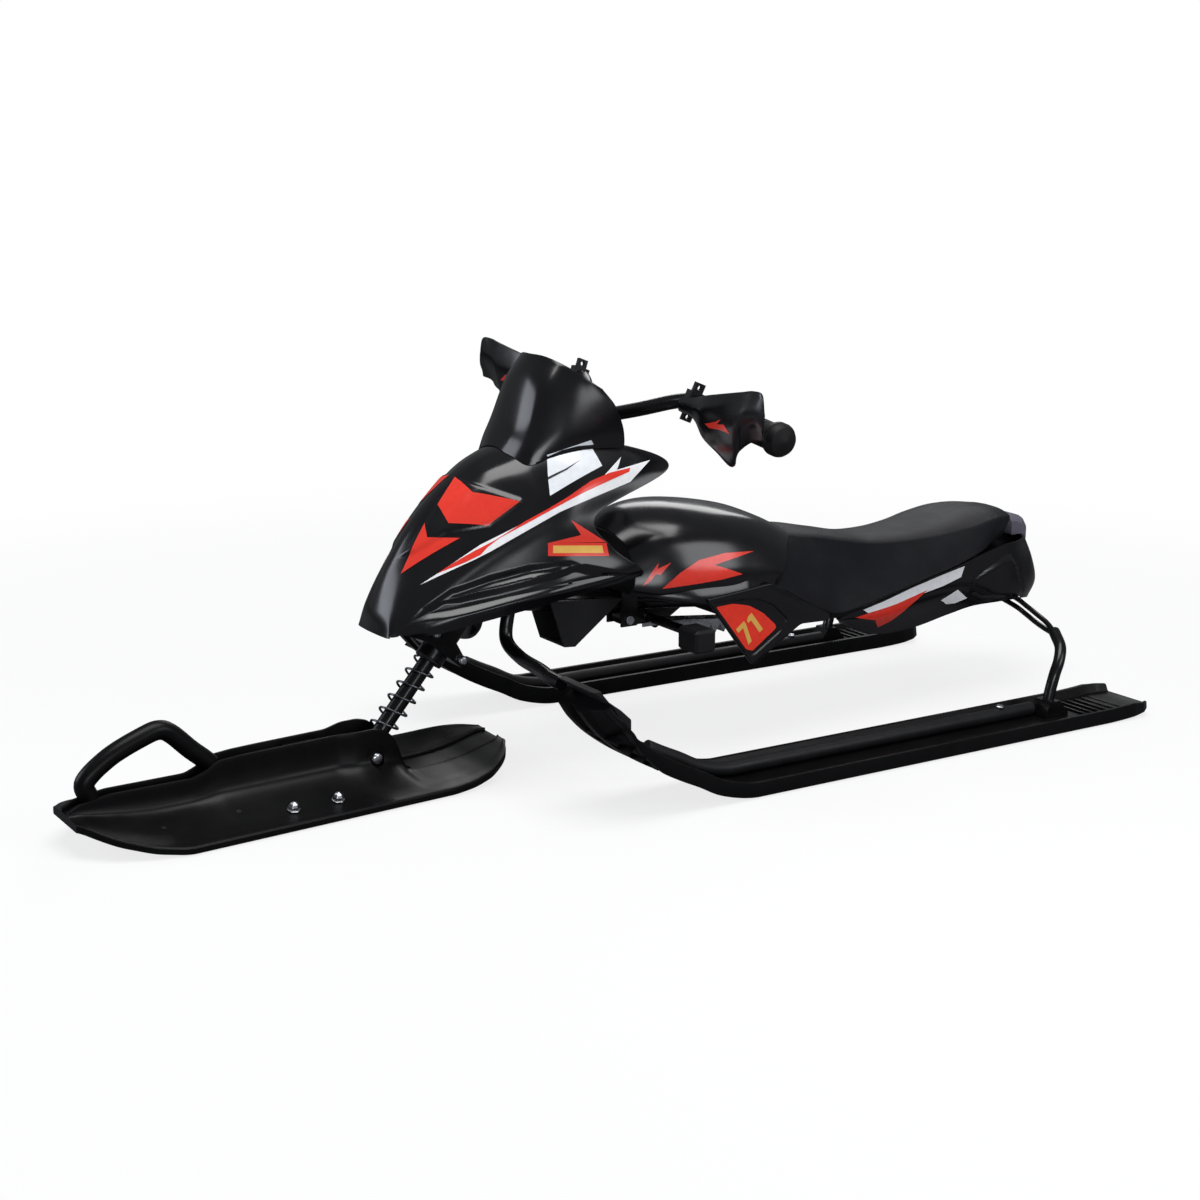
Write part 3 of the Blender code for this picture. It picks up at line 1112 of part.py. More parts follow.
def brake():
    """The foot brake under the backbone: two pads on a bar press a toothed claw down into the snow."""
    hub = brake_hub_radius
    bar = Vector((-0.053, 0.0, 0.1350))
    outline = []
    for k in range(9):
        turn = math.radians(-70.0 + 20.0 * k)
        outline.append((brake_pivot.x + hub * math.cos(turn), brake_pivot.z + hub * math.sin(turn)))
    for k in range(5):
        turn = math.radians(100.0 + 40.0 * k)
        outline.append((bar.x + 0.0072 * math.cos(turn), bar.z + 0.0072 * math.sin(turn)))
    lever = prism("brake_lever", outline, -0.0085, 0.0085, frame_black)
    hole = pin("lever_hole", brake_pivot, (0, 1, 0), brake_pin_radius + seat_gap, -0.03, 0.03)
    crossbar = pin("brake_bar", bar, (0, 1, 0), brake_bar_radius, -0.114, 0.114, frame_black, 12)
    cut(lever, crossbar, "UNION")
    cut(lever, hole)
    braked(lever, hole, crossbar)
    for side, label in ((1, "left"), (-1, "right")):
        y = sorted((side * 0.083, side * (0.083 + pad_size.y)))
        low = bar.z - 0.0065 - pad_size.z * 0.5
        pad = block(label + "_brake_pad", (bar.x - pad_size.x * 0.5, y[0], low),
                    (bar.x + pad_size.x * 0.5, y[1], low + pad_size.z + 0.004), matte_black, 0.003)
        hole = pin("pad_bore", (bar.x, 0, bar.z), (0, side, 0), brake_bar_radius + seat_gap, 0.07,
                   0.114 + seat_gap)
        cut(pad, hole)
        braked(pad, hole)
    top = bar.z - brake_bar_radius - seat_gap
    strip = [(-0.0440, top), (-0.0700, top), (-0.1770, top - 0.0110), (-0.1790, top - 0.0150)]
    for k in range(5):
        x = -0.1760 + 0.0120 * k
        strip.append((x, top - 0.0240))
        strip.append((x + 0.0060, top - 0.0140))
    strip += [(-0.0700, top - 0.0045), (-0.0440, top - 0.0045)]
    claw = prism("brake_claw", strip, -0.011, 0.011, zinc)
    notch = block("claw_notch", (-0.0625, -0.0091, top - 0.02), (-0.0400, 0.0091, top + 0.02), zinc)
    braked(claw)
    notch.hide_render = True
    notch.display_type = "WIRE"
    braked(notch)
    cut(claw, notch)
    side = backbone_radius + 0.0030
    height = backbone_height(brake_x)
    bracket = block("brake_bracket", (brake_x - 0.010, -side, brake_pivot.z - 0.007),
                    (brake_x + 0.010, side, height + backbone_radius + 0.0030), frame_black)
    slot = block("bracket_slot", (brake_x - 0.03, -backbone_radius - seat_gap, brake_pivot.z - 0.03),
                 (brake_x + 0.03, backbone_radius + seat_gap, height), frame_black)
    spine = spine_cutter("bracket_spine", brake_x - 0.03, brake_x + 0.03, seat_gap + 0.0002)
    ear_hole = pin("ear_hole", brake_pivot, (0, 1, 0), brake_pin_radius + seat_gap, -0.03, 0.03)
    cut(bracket, slot)
    cut(bracket, spine)
    cut(bracket, ear_hole)
    reach = side + seat_gap
    half = [(brake_pin_radius, reach), (0.005, reach), (0.005, reach + 0.002), (0.0, reach + 0.002)]
    profile = [(radius, -height) for radius, height in reversed(half)] + half
    turned("brake_pin", profile, brake_pivot, (0, 1, 0), zinc, 10)


front_ski()
front_fittings()
fork()
coil_spring()
head()
stem()
handlebar()
handguards()
rear_skis()
frame_tubes()
cowl()
tank()
side_panels()
seat()
tail()
brake()
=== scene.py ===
"""Looks for the snow sled: finer meshes, materials, decals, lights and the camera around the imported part."""

import json
import math

import bmesh
import bpy
from mathutils import Matrix, Vector, noise
from mathutils.bvhtree import BVHTree
from mathutils.geometry import tessellate_polygon


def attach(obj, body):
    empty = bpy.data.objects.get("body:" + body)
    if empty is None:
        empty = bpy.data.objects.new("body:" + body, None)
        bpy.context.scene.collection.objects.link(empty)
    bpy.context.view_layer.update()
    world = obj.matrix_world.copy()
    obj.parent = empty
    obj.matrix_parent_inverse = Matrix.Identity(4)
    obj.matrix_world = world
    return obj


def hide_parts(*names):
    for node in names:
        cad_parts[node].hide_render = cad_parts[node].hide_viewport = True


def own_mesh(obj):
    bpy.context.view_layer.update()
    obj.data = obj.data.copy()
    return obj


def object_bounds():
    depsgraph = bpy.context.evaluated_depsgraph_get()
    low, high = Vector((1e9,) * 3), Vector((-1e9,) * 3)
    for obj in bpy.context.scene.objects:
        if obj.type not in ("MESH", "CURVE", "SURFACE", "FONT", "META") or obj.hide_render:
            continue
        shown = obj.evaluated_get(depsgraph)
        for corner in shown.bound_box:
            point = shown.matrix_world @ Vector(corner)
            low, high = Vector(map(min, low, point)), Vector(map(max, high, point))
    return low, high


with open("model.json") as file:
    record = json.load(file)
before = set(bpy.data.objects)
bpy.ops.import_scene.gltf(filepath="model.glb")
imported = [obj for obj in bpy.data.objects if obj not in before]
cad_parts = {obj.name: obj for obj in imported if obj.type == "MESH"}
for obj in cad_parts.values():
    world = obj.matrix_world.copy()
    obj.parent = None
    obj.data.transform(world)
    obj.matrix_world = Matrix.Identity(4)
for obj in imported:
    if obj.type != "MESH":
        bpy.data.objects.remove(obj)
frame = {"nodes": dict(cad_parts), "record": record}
cad_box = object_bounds()

# Driving values, the same as the part's
seat_gap = 0.0003
running_gap = 0.0006
steer_rake = math.radians(40.0)
steer_foot = Vector((0.26, 0.0, 0.063))
steer_rest = math.radians(6.0)
bar_twist = math.radians(-4.5)
steer_axis = Vector((-math.sin(steer_rake), 0.0, math.cos(steer_rake)))
front_half = 0.083
front_flange = 0.0075
cheek_half = 0.0192
channel_half = 0.0162
cheek_top = 0.0615
ski_pivot_drop = 0.036
pivot_bolt_radius = 0.004
loop_radius = 0.0095
track_half = 0.2
ski_half = 0.042
ski_deck = 0.009
ski_flange = 0.016
ski_groove = 0.005
backbone_radius = 0.0125
hoop_radius = 0.007
rear_hoop_radius = 0.0065
arm_radius = 0.003
arm_apart = 0.005
rail_radius = 0.0075
rail_offset = -0.009
fork_radius = 0.0085
fork_bore = 0.0058
fork_top = 0.12
rod_radius = 0.0052
fork_travel = 0.022
spring_radius = 0.0136
spring_wire = 0.00125
spring_turns = 6
spring_low = -0.0225
head_radius = 0.015
head_bore = 0.0115
head_low = 0.0785
head_length = 0.084
bush_flange = 0.003
bar_radius = 0.0075
bar_height = 0.39
grip_radius = 0.0135
grip_inner = 0.159
grip_outer = 0.263
grip_flange = 0.0168
guard_wall = 0.0022
cover_wall = 0.0025
screen_wall = 0.0022
seat_crown = 0.006

# The angles from which an edge is shaded as sharp, in degrees, and the width of the covers' soft edges
sharp_angle = 38.0
cover_angle = 60.0
cover_edge = 0.0007

# The side and the label of each of a pair
both = ((1, "left"), (-1, "right"))


def on_axis(distance):
    return steer_foot + steer_axis * distance


ski_pivot = on_axis(-ski_pivot_drop)
ski_lift = front_half * math.sin(steer_rest) * math.sin(steer_rake)
there = Matrix.Translation(steer_foot)
back_again = Matrix.Translation(-steer_foot)
steer_turn = there @ Matrix.Rotation(steer_rest, 4, steer_axis) @ back_again
steer_lean = there @ Matrix.Rotation(-steer_rake, 4, "Y")
bar_turn = steer_turn @ there @ Matrix.Rotation(bar_twist, 4, steer_axis) @ back_again


def linked(name, data):
    piece = bpy.data.objects.new(name, data)
    bpy.context.collection.objects.link(piece)
    return piece


# Camera: the photograph's place and view, with a 60 mm lens on a 36 mm sensor
camera_data = bpy.data.cameras.new("camera")
camera_data.lens = 60.0
camera_data.sensor_width = 36.0
camera_data.sensor_fit = "HORIZONTAL"
camera_data.clip_start = 0.05
camera_data.clip_end = 50.0
camera = linked("camera", camera_data)
azimuth = math.radians(148.18)
elevation = math.radians(13.15)
away = Vector((math.sin(azimuth) * math.cos(elevation), -math.cos(azimuth) * math.cos(elevation),
               math.sin(elevation)))
across = Vector((math.cos(azimuth), math.sin(azimuth), 0.0))
above = away.cross(across)
camera.matrix_world = Matrix((
    (across.x, above.x, away.x, 1.1045),
    (across.y, above.y, away.y, 1.774),
    (across.z, above.z, away.z, 0.647),
    (0.0, 0.0, 0.0, 1.0)))
bpy.context.scene.camera = camera


# Materials
def feed(tree, node, inputs):
    """Sets a node's inputs. Another node's output is linked and any other value is a constant."""
    for key, value in inputs.items():
        if isinstance(value, bpy.types.NodeSocket):
            tree.links.new(value, node.inputs[key])
        else:
            node.inputs[key].default_value = value


def add_node(tree, kind, output, inputs, **settings):
    """Adds a node and returns one of its outputs."""
    node = tree.nodes.new(kind)
    for key, value in settings.items():
        setattr(node, key, value)
    feed(tree, node, inputs)
    return node.outputs[output]


def tint(colour, share):
    return (*[c * share for c in colour], 1.0)


def material(name, colour, roughness, rough, shades, layers, metallic=0.0, shine=0.5, spread=0.2):
    """A Principled material that varies a little from place to place.

    rough is a noise's scale and detail, then the lowest and the highest roughness. shades is a noise's scale
    and detail, then the darkest and the lightest share of the colour. Each bump layer is a texture's scale,
    detail and roughness, then a strength and a depth. A layer of cells has no detail.
    """
    made = bpy.data.materials.new(name)
    made.use_nodes = True
    tree = made.node_tree
    place = add_node(tree, "ShaderNodeTexCoord", "Object", {})

    def cloud(scale, detail, grain=0.55):
        if detail is None:
            return add_node(tree, "ShaderNodeTexVoronoi", "Distance", {"Vector": place, "Scale": scale})
        return add_node(tree, "ShaderNodeTexNoise", "Fac",
                        {"Vector": place, "Scale": scale, "Detail": detail, "Roughness": grain})

    def ramp(value, reach, low, high):
        return add_node(tree, "ShaderNodeMapRange", "Result",
                        {"Value": value, "From Min": 0.5 - reach, "From Max": 0.5 + reach, "To Min": low,
                         "To Max": high})

    shader = tree.nodes["Principled BSDF"]
    feed(tree, shader, {"Specular IOR Level": shine, "Metallic": metallic, "Roughness": roughness,
                        "Base Color": tint(colour, 1.0)})
    share = ramp(cloud(*shades[:2]), 0.2, 0.0, 1.0)
    mix = {"A": tint(colour, shades[2]), "B": tint(colour, shades[3]), "Factor": share}
    inputs = {"Roughness": ramp(cloud(*rough[:2]), spread, *rough[2:]),
              "Base Color": add_node(tree, "ShaderNodeMix", "Result", mix, data_type="RGBA")}
    for scale, detail, grain, strength, depth in layers:
        bump = {"Strength": strength, "Distance": depth, "Height": cloud(scale, detail, grain)}
        if "Normal" in inputs:
            bump["Normal"] = inputs["Normal"]
        inputs["Normal"] = add_node(tree, "ShaderNodeBump", "Normal", bump)
    feed(tree, shader, inputs)
    return made


def gloss_plastic(name, colour, low=0.15, high=0.23):
    return material(name, colour, 0.1, (14.0, 3.0, low, high), (14.0, 3.0, 0.85, 1.2),
                    [(38.0, 2.0, 0.55, 0.1, 0.0006), (900.0, 2.0, 0.55, 0.03, 0.0001)], spread=0.15)


def satin_plastic(name, colour, low, high, grain, depth, shine=0.5):
    return material(name, colour, low, (22.0, 4.0, low, high), (60.0, 4.0, 0.8, 1.3),
                    [(grain, 3.0, 0.7, depth, 0.0002), (30.0, 2.0, 0.55, 0.08, 0.0008)], shine=shine)


def plated_metal(name, colour, low=0.2, high=0.38):
    return material(name, colour, 0.3, (260.0, 4.0, low, high), (150.0, 3.0, 0.8, 1.1),
                    [(1500.0, 2.0, 0.55, 0.12, 0.0001)], metallic=1.0)


def film(name, colour, rough=0.18):
    return material(name, colour, rough, (120.0, 3.0, rough * 0.8, rough * 1.3), (160.0, 3.0, 0.95, 1.04),
                    [(500.0, 2.0, 0.55, 0.05, 0.0001)])


# The finish of each material slot, then the finishes that stay in this script
skins = {
    "gloss_black": gloss_plastic("moulded_gloss_black", (0.0045, 0.0045, 0.0055)),
    "ski_black": satin_plastic("moulded_ski_black", (0.0028, 0.0028, 0.0031), 0.3, 0.42, 650.0, 0.2, 0.16),
    "matte_black": satin_plastic("grained_matte_black", (0.008, 0.008, 0.009), 0.42, 0.58, 800.0, 0.4, 0.3),
    "frame_black": material("gloss_frame_paint", (0.006, 0.006, 0.0065), 0.2, (30.0, 3.0, 0.14, 0.28),
                            (80.0, 3.0, 0.85, 1.25), [(420.0, 2.0, 0.55, 0.12, 0.00015)], metallic=0.3),
    "zinc": plated_metal("bright_zinc", (0.58, 0.59, 0.62)),
    "spring_steel": plated_metal("dark_spring_wire", (0.16, 0.16, 0.18), 0.25, 0.4),
    "seat_vinyl": material("grained_vinyl", (0.0062, 0.0064, 0.0086), 0.5, (24.0, 3.0, 0.47, 0.53),
                           (45.0, 4.0, 0.85, 1.2),
                           [(900.0, None, 0.0, 0.35, 0.00035), (1400.0, 3.0, 0.7, 0.15, 0.0001)], shine=0.13),
    "smoke_grey": gloss_plastic("smoke_grey_plastic", (0.115, 0.11, 0.142), 0.18, 0.3),
}
grip_rubber = satin_plastic("grip_rubber", (0.0055, 0.0055, 0.006), 0.5, 0.66, 1100.0, 0.4, 0.25)
red_film = film("red_film", (0.8, 0.045, 0.028))
plate_red = film("plate_red_film", (0.94, 0.045, 0.022))
white_film = film("white_film", (0.92, 0.93, 0.95))
yellow_film = film("yellow_film", (0.86, 0.5, 0.11))
# The dark film is also the painted shade of the holes in the front ski's flares
dark_film = film("dark_film", (0.012, 0.01, 0.011), 0.3)
lens_film = film("silver_lens_film", (0.86, 0.89, 0.93), 0.14)


# Curves and tables
def metres(table):
    """A table that is written in millimetres."""
    return [metres(entry) if isinstance(entry, (list, tuple)) else entry / 1000.0 for entry in table]


def smooth_path(control, steps):
    """A Catmull-Rom curve through the control points, with a number of steps between each two."""
    points = [Vector(p) for p in control]
    chain = [points[0] * 2 - points[1]] + points + [points[-1] * 2 - points[-2]]
    path = []
    for a, b, c, d in zip(chain, chain[1:], chain[2:], chain[3:]):
        for k in range(steps):
            t = k / steps
            straight = b * 2 + (c - a) * t
            bend = (a * 2 - b * 5 + c * 4 - d) * t * t + (b * 3 - a - c * 3 + d) * t ** 3
            path.append((straight + bend) * 0.5)
    path.append(points[-1])
    return path


def smooth_rings(rings, steps):
    """More rings between the given ones, along curves through their points."""
    return [list(ring) for ring in zip(*[smooth_path(line, steps) for line in zip(*rings)])]


def fine_lines(control, length_steps, width_steps):
    return smooth_rings([smooth_path(line, length_steps) for line in control], width_steps)


def along(table, place):
    for (p, low), (q, high) in zip(table, table[1:]):
        if place <= q:
            share = min(max((place - p) / (q - p), 0.0), 1.0)
            return low + (high - low) * share
    return table[-1][1]


def eased(table, place, reach):
    """A table's value averaged over a short stretch, so that its corners turn into curves."""
    return sum(along(table, place + reach * k / 4.0) for k in range(-4, 5)) / 9.0


def mirrored(points):
    return [Vector((p[0], -p[1], p[2])) for p in points]


def full_width(half):
    return [mirrored(line) for line in half[:0:-1]] + half


def circle(centre, side, other, radius, sides):
    turns = [2 * math.pi * k / sides for k in range(sides)]
    return [centre + (side * math.cos(turn) + other * math.sin(turn)) * radius for turn in turns]


def rounded(corners, reach, steps):
    """A closed outline with each corner turned into a short curve."""
    found = []
    for before, here, after in zip(corners[-1:] + corners, corners, corners[1:] + corners[:1]):
        here = Vector(here)
        back = Vector(before) - here
        ahead = Vector(after) - here
        start = here + back.normalized() * min(reach, back.length * 0.45)
        end = here + ahead.normalized() * min(reach, ahead.length * 0.45)
        for k in range(steps + 1):
            t = k / steps
            found.append(start * (1 - t) ** 2 + here * 2 * t * (1 - t) + end * t * t)
    return found


# Meshes
def shade(mesh, sharp):
    mesh.shade_smooth()
    mesh.set_sharp_from_angle(angle=math.radians(sharp))


def piece_from(name, vertices, faces, sharp, solid=True):
    mesh = bpy.data.meshes.new(name)
    mesh.from_pydata([tuple(v) for v in vertices], [], faces)
    if solid:
        work = bmesh.new()
        work.from_mesh(mesh)
        bmesh.ops.recalc_face_normals(work, faces=work.faces)
        work.to_mesh(mesh)
        work.free()
    shade(mesh, sharp)
    return linked(name, mesh)


def loft(name, rings, sharp=sharp_angle):
    size = len(rings[0])
    vertices = [p for ring in rings for p in ring]
    last = len(vertices) - size
    faces = [list(range(size)), list(range(last, last + size))]
    for i in range(0, last, size):
        for k in range(size):
            n = (k + 1) % size
            faces.append([i + k, i + n, i + size + n, i + size + k])
    return piece_from(name, vertices, faces, sharp)


def tube(name, path, radius, sides=24):
    """A round bar along a path."""
    rings = []
    side = (path[1] - path[0]).normalized().orthogonal().normalized()
    for before, point, after in zip(path[:1] + path, path, path[1:] + path[-1:]):
        ahead = (after - before).normalized()
        side = (side - ahead * side.dot(ahead)).normalized()
        rings.append(circle(point, side, ahead.cross(side), radius, sides))
    return loft(name, rings)


def turned(name, profile, base=(0, 0, 0), axis=(0, 0, 1), sides=32, closed=False):
    """A solid turned about an axis from radii and heights. A closed profile gives a ring."""
    axis = Vector(axis).normalized()
    side = axis.orthogonal().normalized()
    other = axis.cross(side)
    vertices = []
    rings = []
    for radius, height in profile:
        centre = Vector(base) + axis * height
        ring = circle(centre, side, other, radius, sides) if radius else [centre]
        rings.append(range(len(vertices), len(vertices) + len(ring)))
        vertices += ring
    faces = []
    for low, high in zip(rings, rings[1:] + rings[:1] if closed else rings[1:]):
        for k in range(sides):
            n = (k + 1) % sides
            corners = [low[k % len(low)], low[n % len(low)], high[n % len(high)], high[k % len(high)]]
            faces.append(list(dict.fromkeys(corners)))
    return piece_from(name, vertices, faces, 30.0)


def pin(name, place, axis, radius, low, high, sides=32):
    return turned(name, [(0.0, low), (radius, low), (radius, high), (0.0, high)], place, axis, sides)


def prism(name, outline, ends):
    return loft(name, [[Vector((p[0], y, p[1])) for p in outline] for y in sorted(ends)])


def block(name, low, high):
    return prism(name, [(low[0], low[2]), (high[0], low[2]), (high[0], high[2]), (low[0], high[2])],
                 (low[1], high[1]))


def sheet(name, lines, sharp=sharp_angle):
    """An open surface through lines of equal length. Its faces point away from its own middle."""
    length = len(lines[0])
    vertices = [p for line in lines for p in line]
    faces = []
    for i in range(0, len(vertices) - length, length):
        for a in range(i, i + length - 1):
            faces.append((a, a + length, a + length + 1, a + 1))
    low, high = [Vector([end(p[i] for p in vertices) for i in range(3)]) for end in (min, max)]
    outward = 0.0
    for face in faces:
        p, q, r, s = [vertices[k] for k in face]
        outward += (r - p).cross(s - q).dot(p + q + r + s - (low + high) * 2)
    if outward < 0.0:
        faces = [face[::-1] for face in faces]
    return piece_from(name, vertices, faces, sharp, solid=False)


def soften(piece, width, segments=3):
    modifier = piece.modifiers.new("edges", "BEVEL")
    modifier.width = width
    modifier.segments = segments
    modifier.limit_method = "ANGLE"
    modifier.angle_limit = math.radians(35.0)
    modifier.harden_normals = False


def thicken(piece, outside, inside):
    modifier = piece.modifiers.new("wall", "SOLIDIFY")
    modifier.thickness = outside + inside
    modifier.offset = (outside - inside) / (outside + inside)


def cut(piece, cutter, operation="DIFFERENCE"):
    modifier = piece.modifiers.new(operation.lower(), "BOOLEAN")
    modifier.operation = operation
    modifier.solver = "EXACT"
    modifier.object = cutter


def settle(piece, *cutters, sharp=sharp_angle):
    """Applies the piece's modifiers, removes the cutters that they used and shades it again."""
    bpy.context.view_layer.update()
    shape = piece.evaluated_get(bpy.context.evaluated_depsgraph_get())
    mesh = bpy.data.meshes.new_from_object(shape)
    piece.modifiers.clear()
    piece.data = mesh
    shade(mesh, sharp)
    for cutter in cutters:
        bpy.data.objects.remove(cutter, do_unlink=True)
    return piece


def softened(piece, width, segments=2, sharp=sharp_angle):
    soften(piece, width, segments)
    return settle(piece, sharp=sharp)


def joined(pieces):
    """The first of the pieces, with the meshes of all of them in it."""
    work = bmesh.new()
    for piece in pieces:
        work.from_mesh(piece.data)
    for piece in pieces[1:]:
        bpy.data.objects.remove(piece, do_unlink=True)
    work.to_mesh(pieces[0].data)
    work.free()
    return pieces[0]


def surface_tree(piece):
    return BVHTree.FromPolygons([v.co.copy() for v in piece.data.vertices],
                                [tuple(p.vertices) for p in piece.data.polygons])


def belongs(piece, body, slot, *nodes, skin=None, matrix=None):
    """The piece rides on a body, takes its finish from a slot and stands for the nodes."""
    if matrix is not None:
        piece.data.transform(matrix)
        piece.data.update()
    piece.data.materials.append(skin or skins[slot])
    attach(piece, body)
    if nodes:
        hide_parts(*nodes)
    return piece


# Decals: thin films cut to an outline and laid on a surface
def film_on(name, outline, tree, skin, lift, outward, size, body="frame", slot="gloss_black", matrix=None):
    # How far the surface is looked for above and under the flat outline
    above_film = 0.04
    under_film = 0.05
    points = [Vector(p) for p in outline]
    centre = sum(points, Vector()) / len(points)
    normal = Vector()
    for p, q in zip(points, points[1:] + points[:1]):
        normal += (p - centre).cross(q - centre)
    normal.normalize()
    if normal.dot(Vector(outward)) < 0.0:
        normal = -normal
        points.reverse()
    first = points[1] - points[0]
    first = (first - normal * first.dot(normal)).normalized()
    second = normal.cross(first)
    flat = [Vector(((p - centre).dot(first), (p - centre).dot(second), 0.0)) for p in points]
    work = bmesh.new()
    corners = [work.verts.new(p) for p in flat]
    for triangle in tessellate_polygon([flat]):
        work.faces.new([corners[k] for k in triangle])
    for column, way in enumerate((Vector((1.0, 0.0, 0.0)), Vector((0.0, 1.0, 0.0)))):
        at = math.ceil(min(p[column] for p in flat) / size) * size
        while at < max(p[column] for p in flat):
            everything = work.verts[:] + work.edges[:] + work.faces[:]
            bmesh.ops.bisect_plane(work, geom=everything, plane_co=way * at, plane_no=way, dist=1e-6)
            at += size
    bmesh.ops.recalc_face_normals(work, faces=work.faces)
    for vertex in work.verts:
        p = centre + first * vertex.co.x + second * vertex.co.y
        hit, out = tree.ray_cast(p + normal * above_film, -normal, above_film + under_film)[:2]
        if hit is None:
            hit, out = tree.find_nearest(p)[:2]
        if out.dot(normal) < 0.0:
            out = -out
        vertex.co = hit + out * lift
    mesh = bpy.data.meshes.new(name)
    work.to_mesh(mesh)
    work.free()
    total = sum((polygon.normal * polygon.area for polygon in mesh.polygons), Vector())
    if total.dot(normal) < 0.0:
        mesh.flip_normals()
    mesh.shade_smooth()
    belongs(linked(name, mesh), body, slot, skin=skin, matrix=matrix)


def both_sides(name, outline, tree, skin, lift, outward, size, **more):
    film_on("left_" + name, outline, tree, skin, lift, outward, size, **more)
    film_on("right_" + name, mirrored(outline), tree, skin, lift, mirrored([outward])[0], size, **more)


# Front ski, the same control tables as the part's
front_widths = [(0.131, 0.023), (0.135, 0.034), (0.142, 0.0455), (0.151, 0.0555), (0.161, 0.0635),
                (0.176, 0.0725), (0.2, 0.0795), (0.225, front_half), (0.515, front_half),
                (0.545, front_half * 0.89), (0.575, front_half * 0.7), (0.592, front_half * 0.49),
                (0.602, front_half * 0.3)]
front_rise = [(0.131, 0.016), (0.142, 0.013), (0.161, 0.0085), (0.176, 0.0045), (0.2, 0.0012),
              (0.225, 0.0), (0.515, 0.0), (0.545, 0.004), (0.575, 0.012), (0.602, 0.022)]
front_ridge = [(0.24, 0.011), (0.25, 0.0165), (0.254, 0.032), (0.262, cheek_top - 0.013),
               (0.272, cheek_top - 0.0045), (0.284, cheek_top - 0.001), (0.303, cheek_top - 0.001),
               (0.325, cheek_top - 0.0025), (0.405, cheek_top - 0.003), (0.43, cheek_top - 0.0035),
               (0.452, cheek_top - 0.005), (0.466, 0.048), (0.478, 0.0435), (0.56, 0.0445),
               (0.592, 0.04), (0.602, 0.034)]
front_neck = [(0.116, cheek_half), (0.303, cheek_half), (0.325, 0.012), (0.43, 0.0115), (0.49, 0.0095),
              (0.602, 0.009)]
front_channel = [(0.116, channel_half), (0.303, channel_half), (0.325, 0.0088), (0.43, 0.0085),
                 (0.49, 0.0065), (0.602, 0.006)]
front_floor = [(0.116, 0.0055), (0.23, 0.006), (0.245, 0.0075), (0.325, 0.0075), (0.338, cheek_top - 0.009),
               (0.376, cheek_top - 0.009), (0.386, 0.008), (0.43, 0.008), (0.47, 0.028), (0.56, 0.034),
               (0.592, 0.034), (0.602, 0.03)]


def front_section(x):
    """Half of the hull's section, with its bell side and its edges turned into curves."""
    wide = eased(front_widths, x, 0.006)
    low = eased(front_rise, x, 0.008)
    deck = low + front_flange
    if x < front_ridge[0][0]:
        top = deck + 0.0012
        inner = deck - 0.0015
    else:
        top = eased(front_ridge, x, 0.003)
        inner = eased(front_floor, x, 0.0015)
    neck = min(eased(front_neck, x, 0.004), wide * 0.5)
    gap = min(eased(front_channel, x, 0.004), neck * 0.86)
    rise = top - deck
    flare = wide - neck
    bell = [(wide, deck - 0.0015, 0.0), (wide * 0.97, deck, 0.0), (wide * 0.87, deck + 0.0004, 0.0),
            (neck + flare * 0.58, deck + rise * 0.085, 0.0), (neck + flare * 0.14, deck + rise * 0.3, 0.0),
            (neck + flare * 0.03, deck + rise * 0.55, 0.0), (neck, top - min(0.001, rise * 0.2), 0.0)]
    crown = min(0.001, (neck - gap) * 0.3)
    return ([(wide - 0.001, low), (wide, low + 0.001)] + [(p.x, p.y) for p in smooth_path(bell, 5)]
            + [(neck - crown * 0.3, top - crown * 0.3), (neck - crown, top), (gap + crown, top),
               (gap + crown * 0.3, top - crown * 0.3), (gap, top - crown), (gap, inner)])


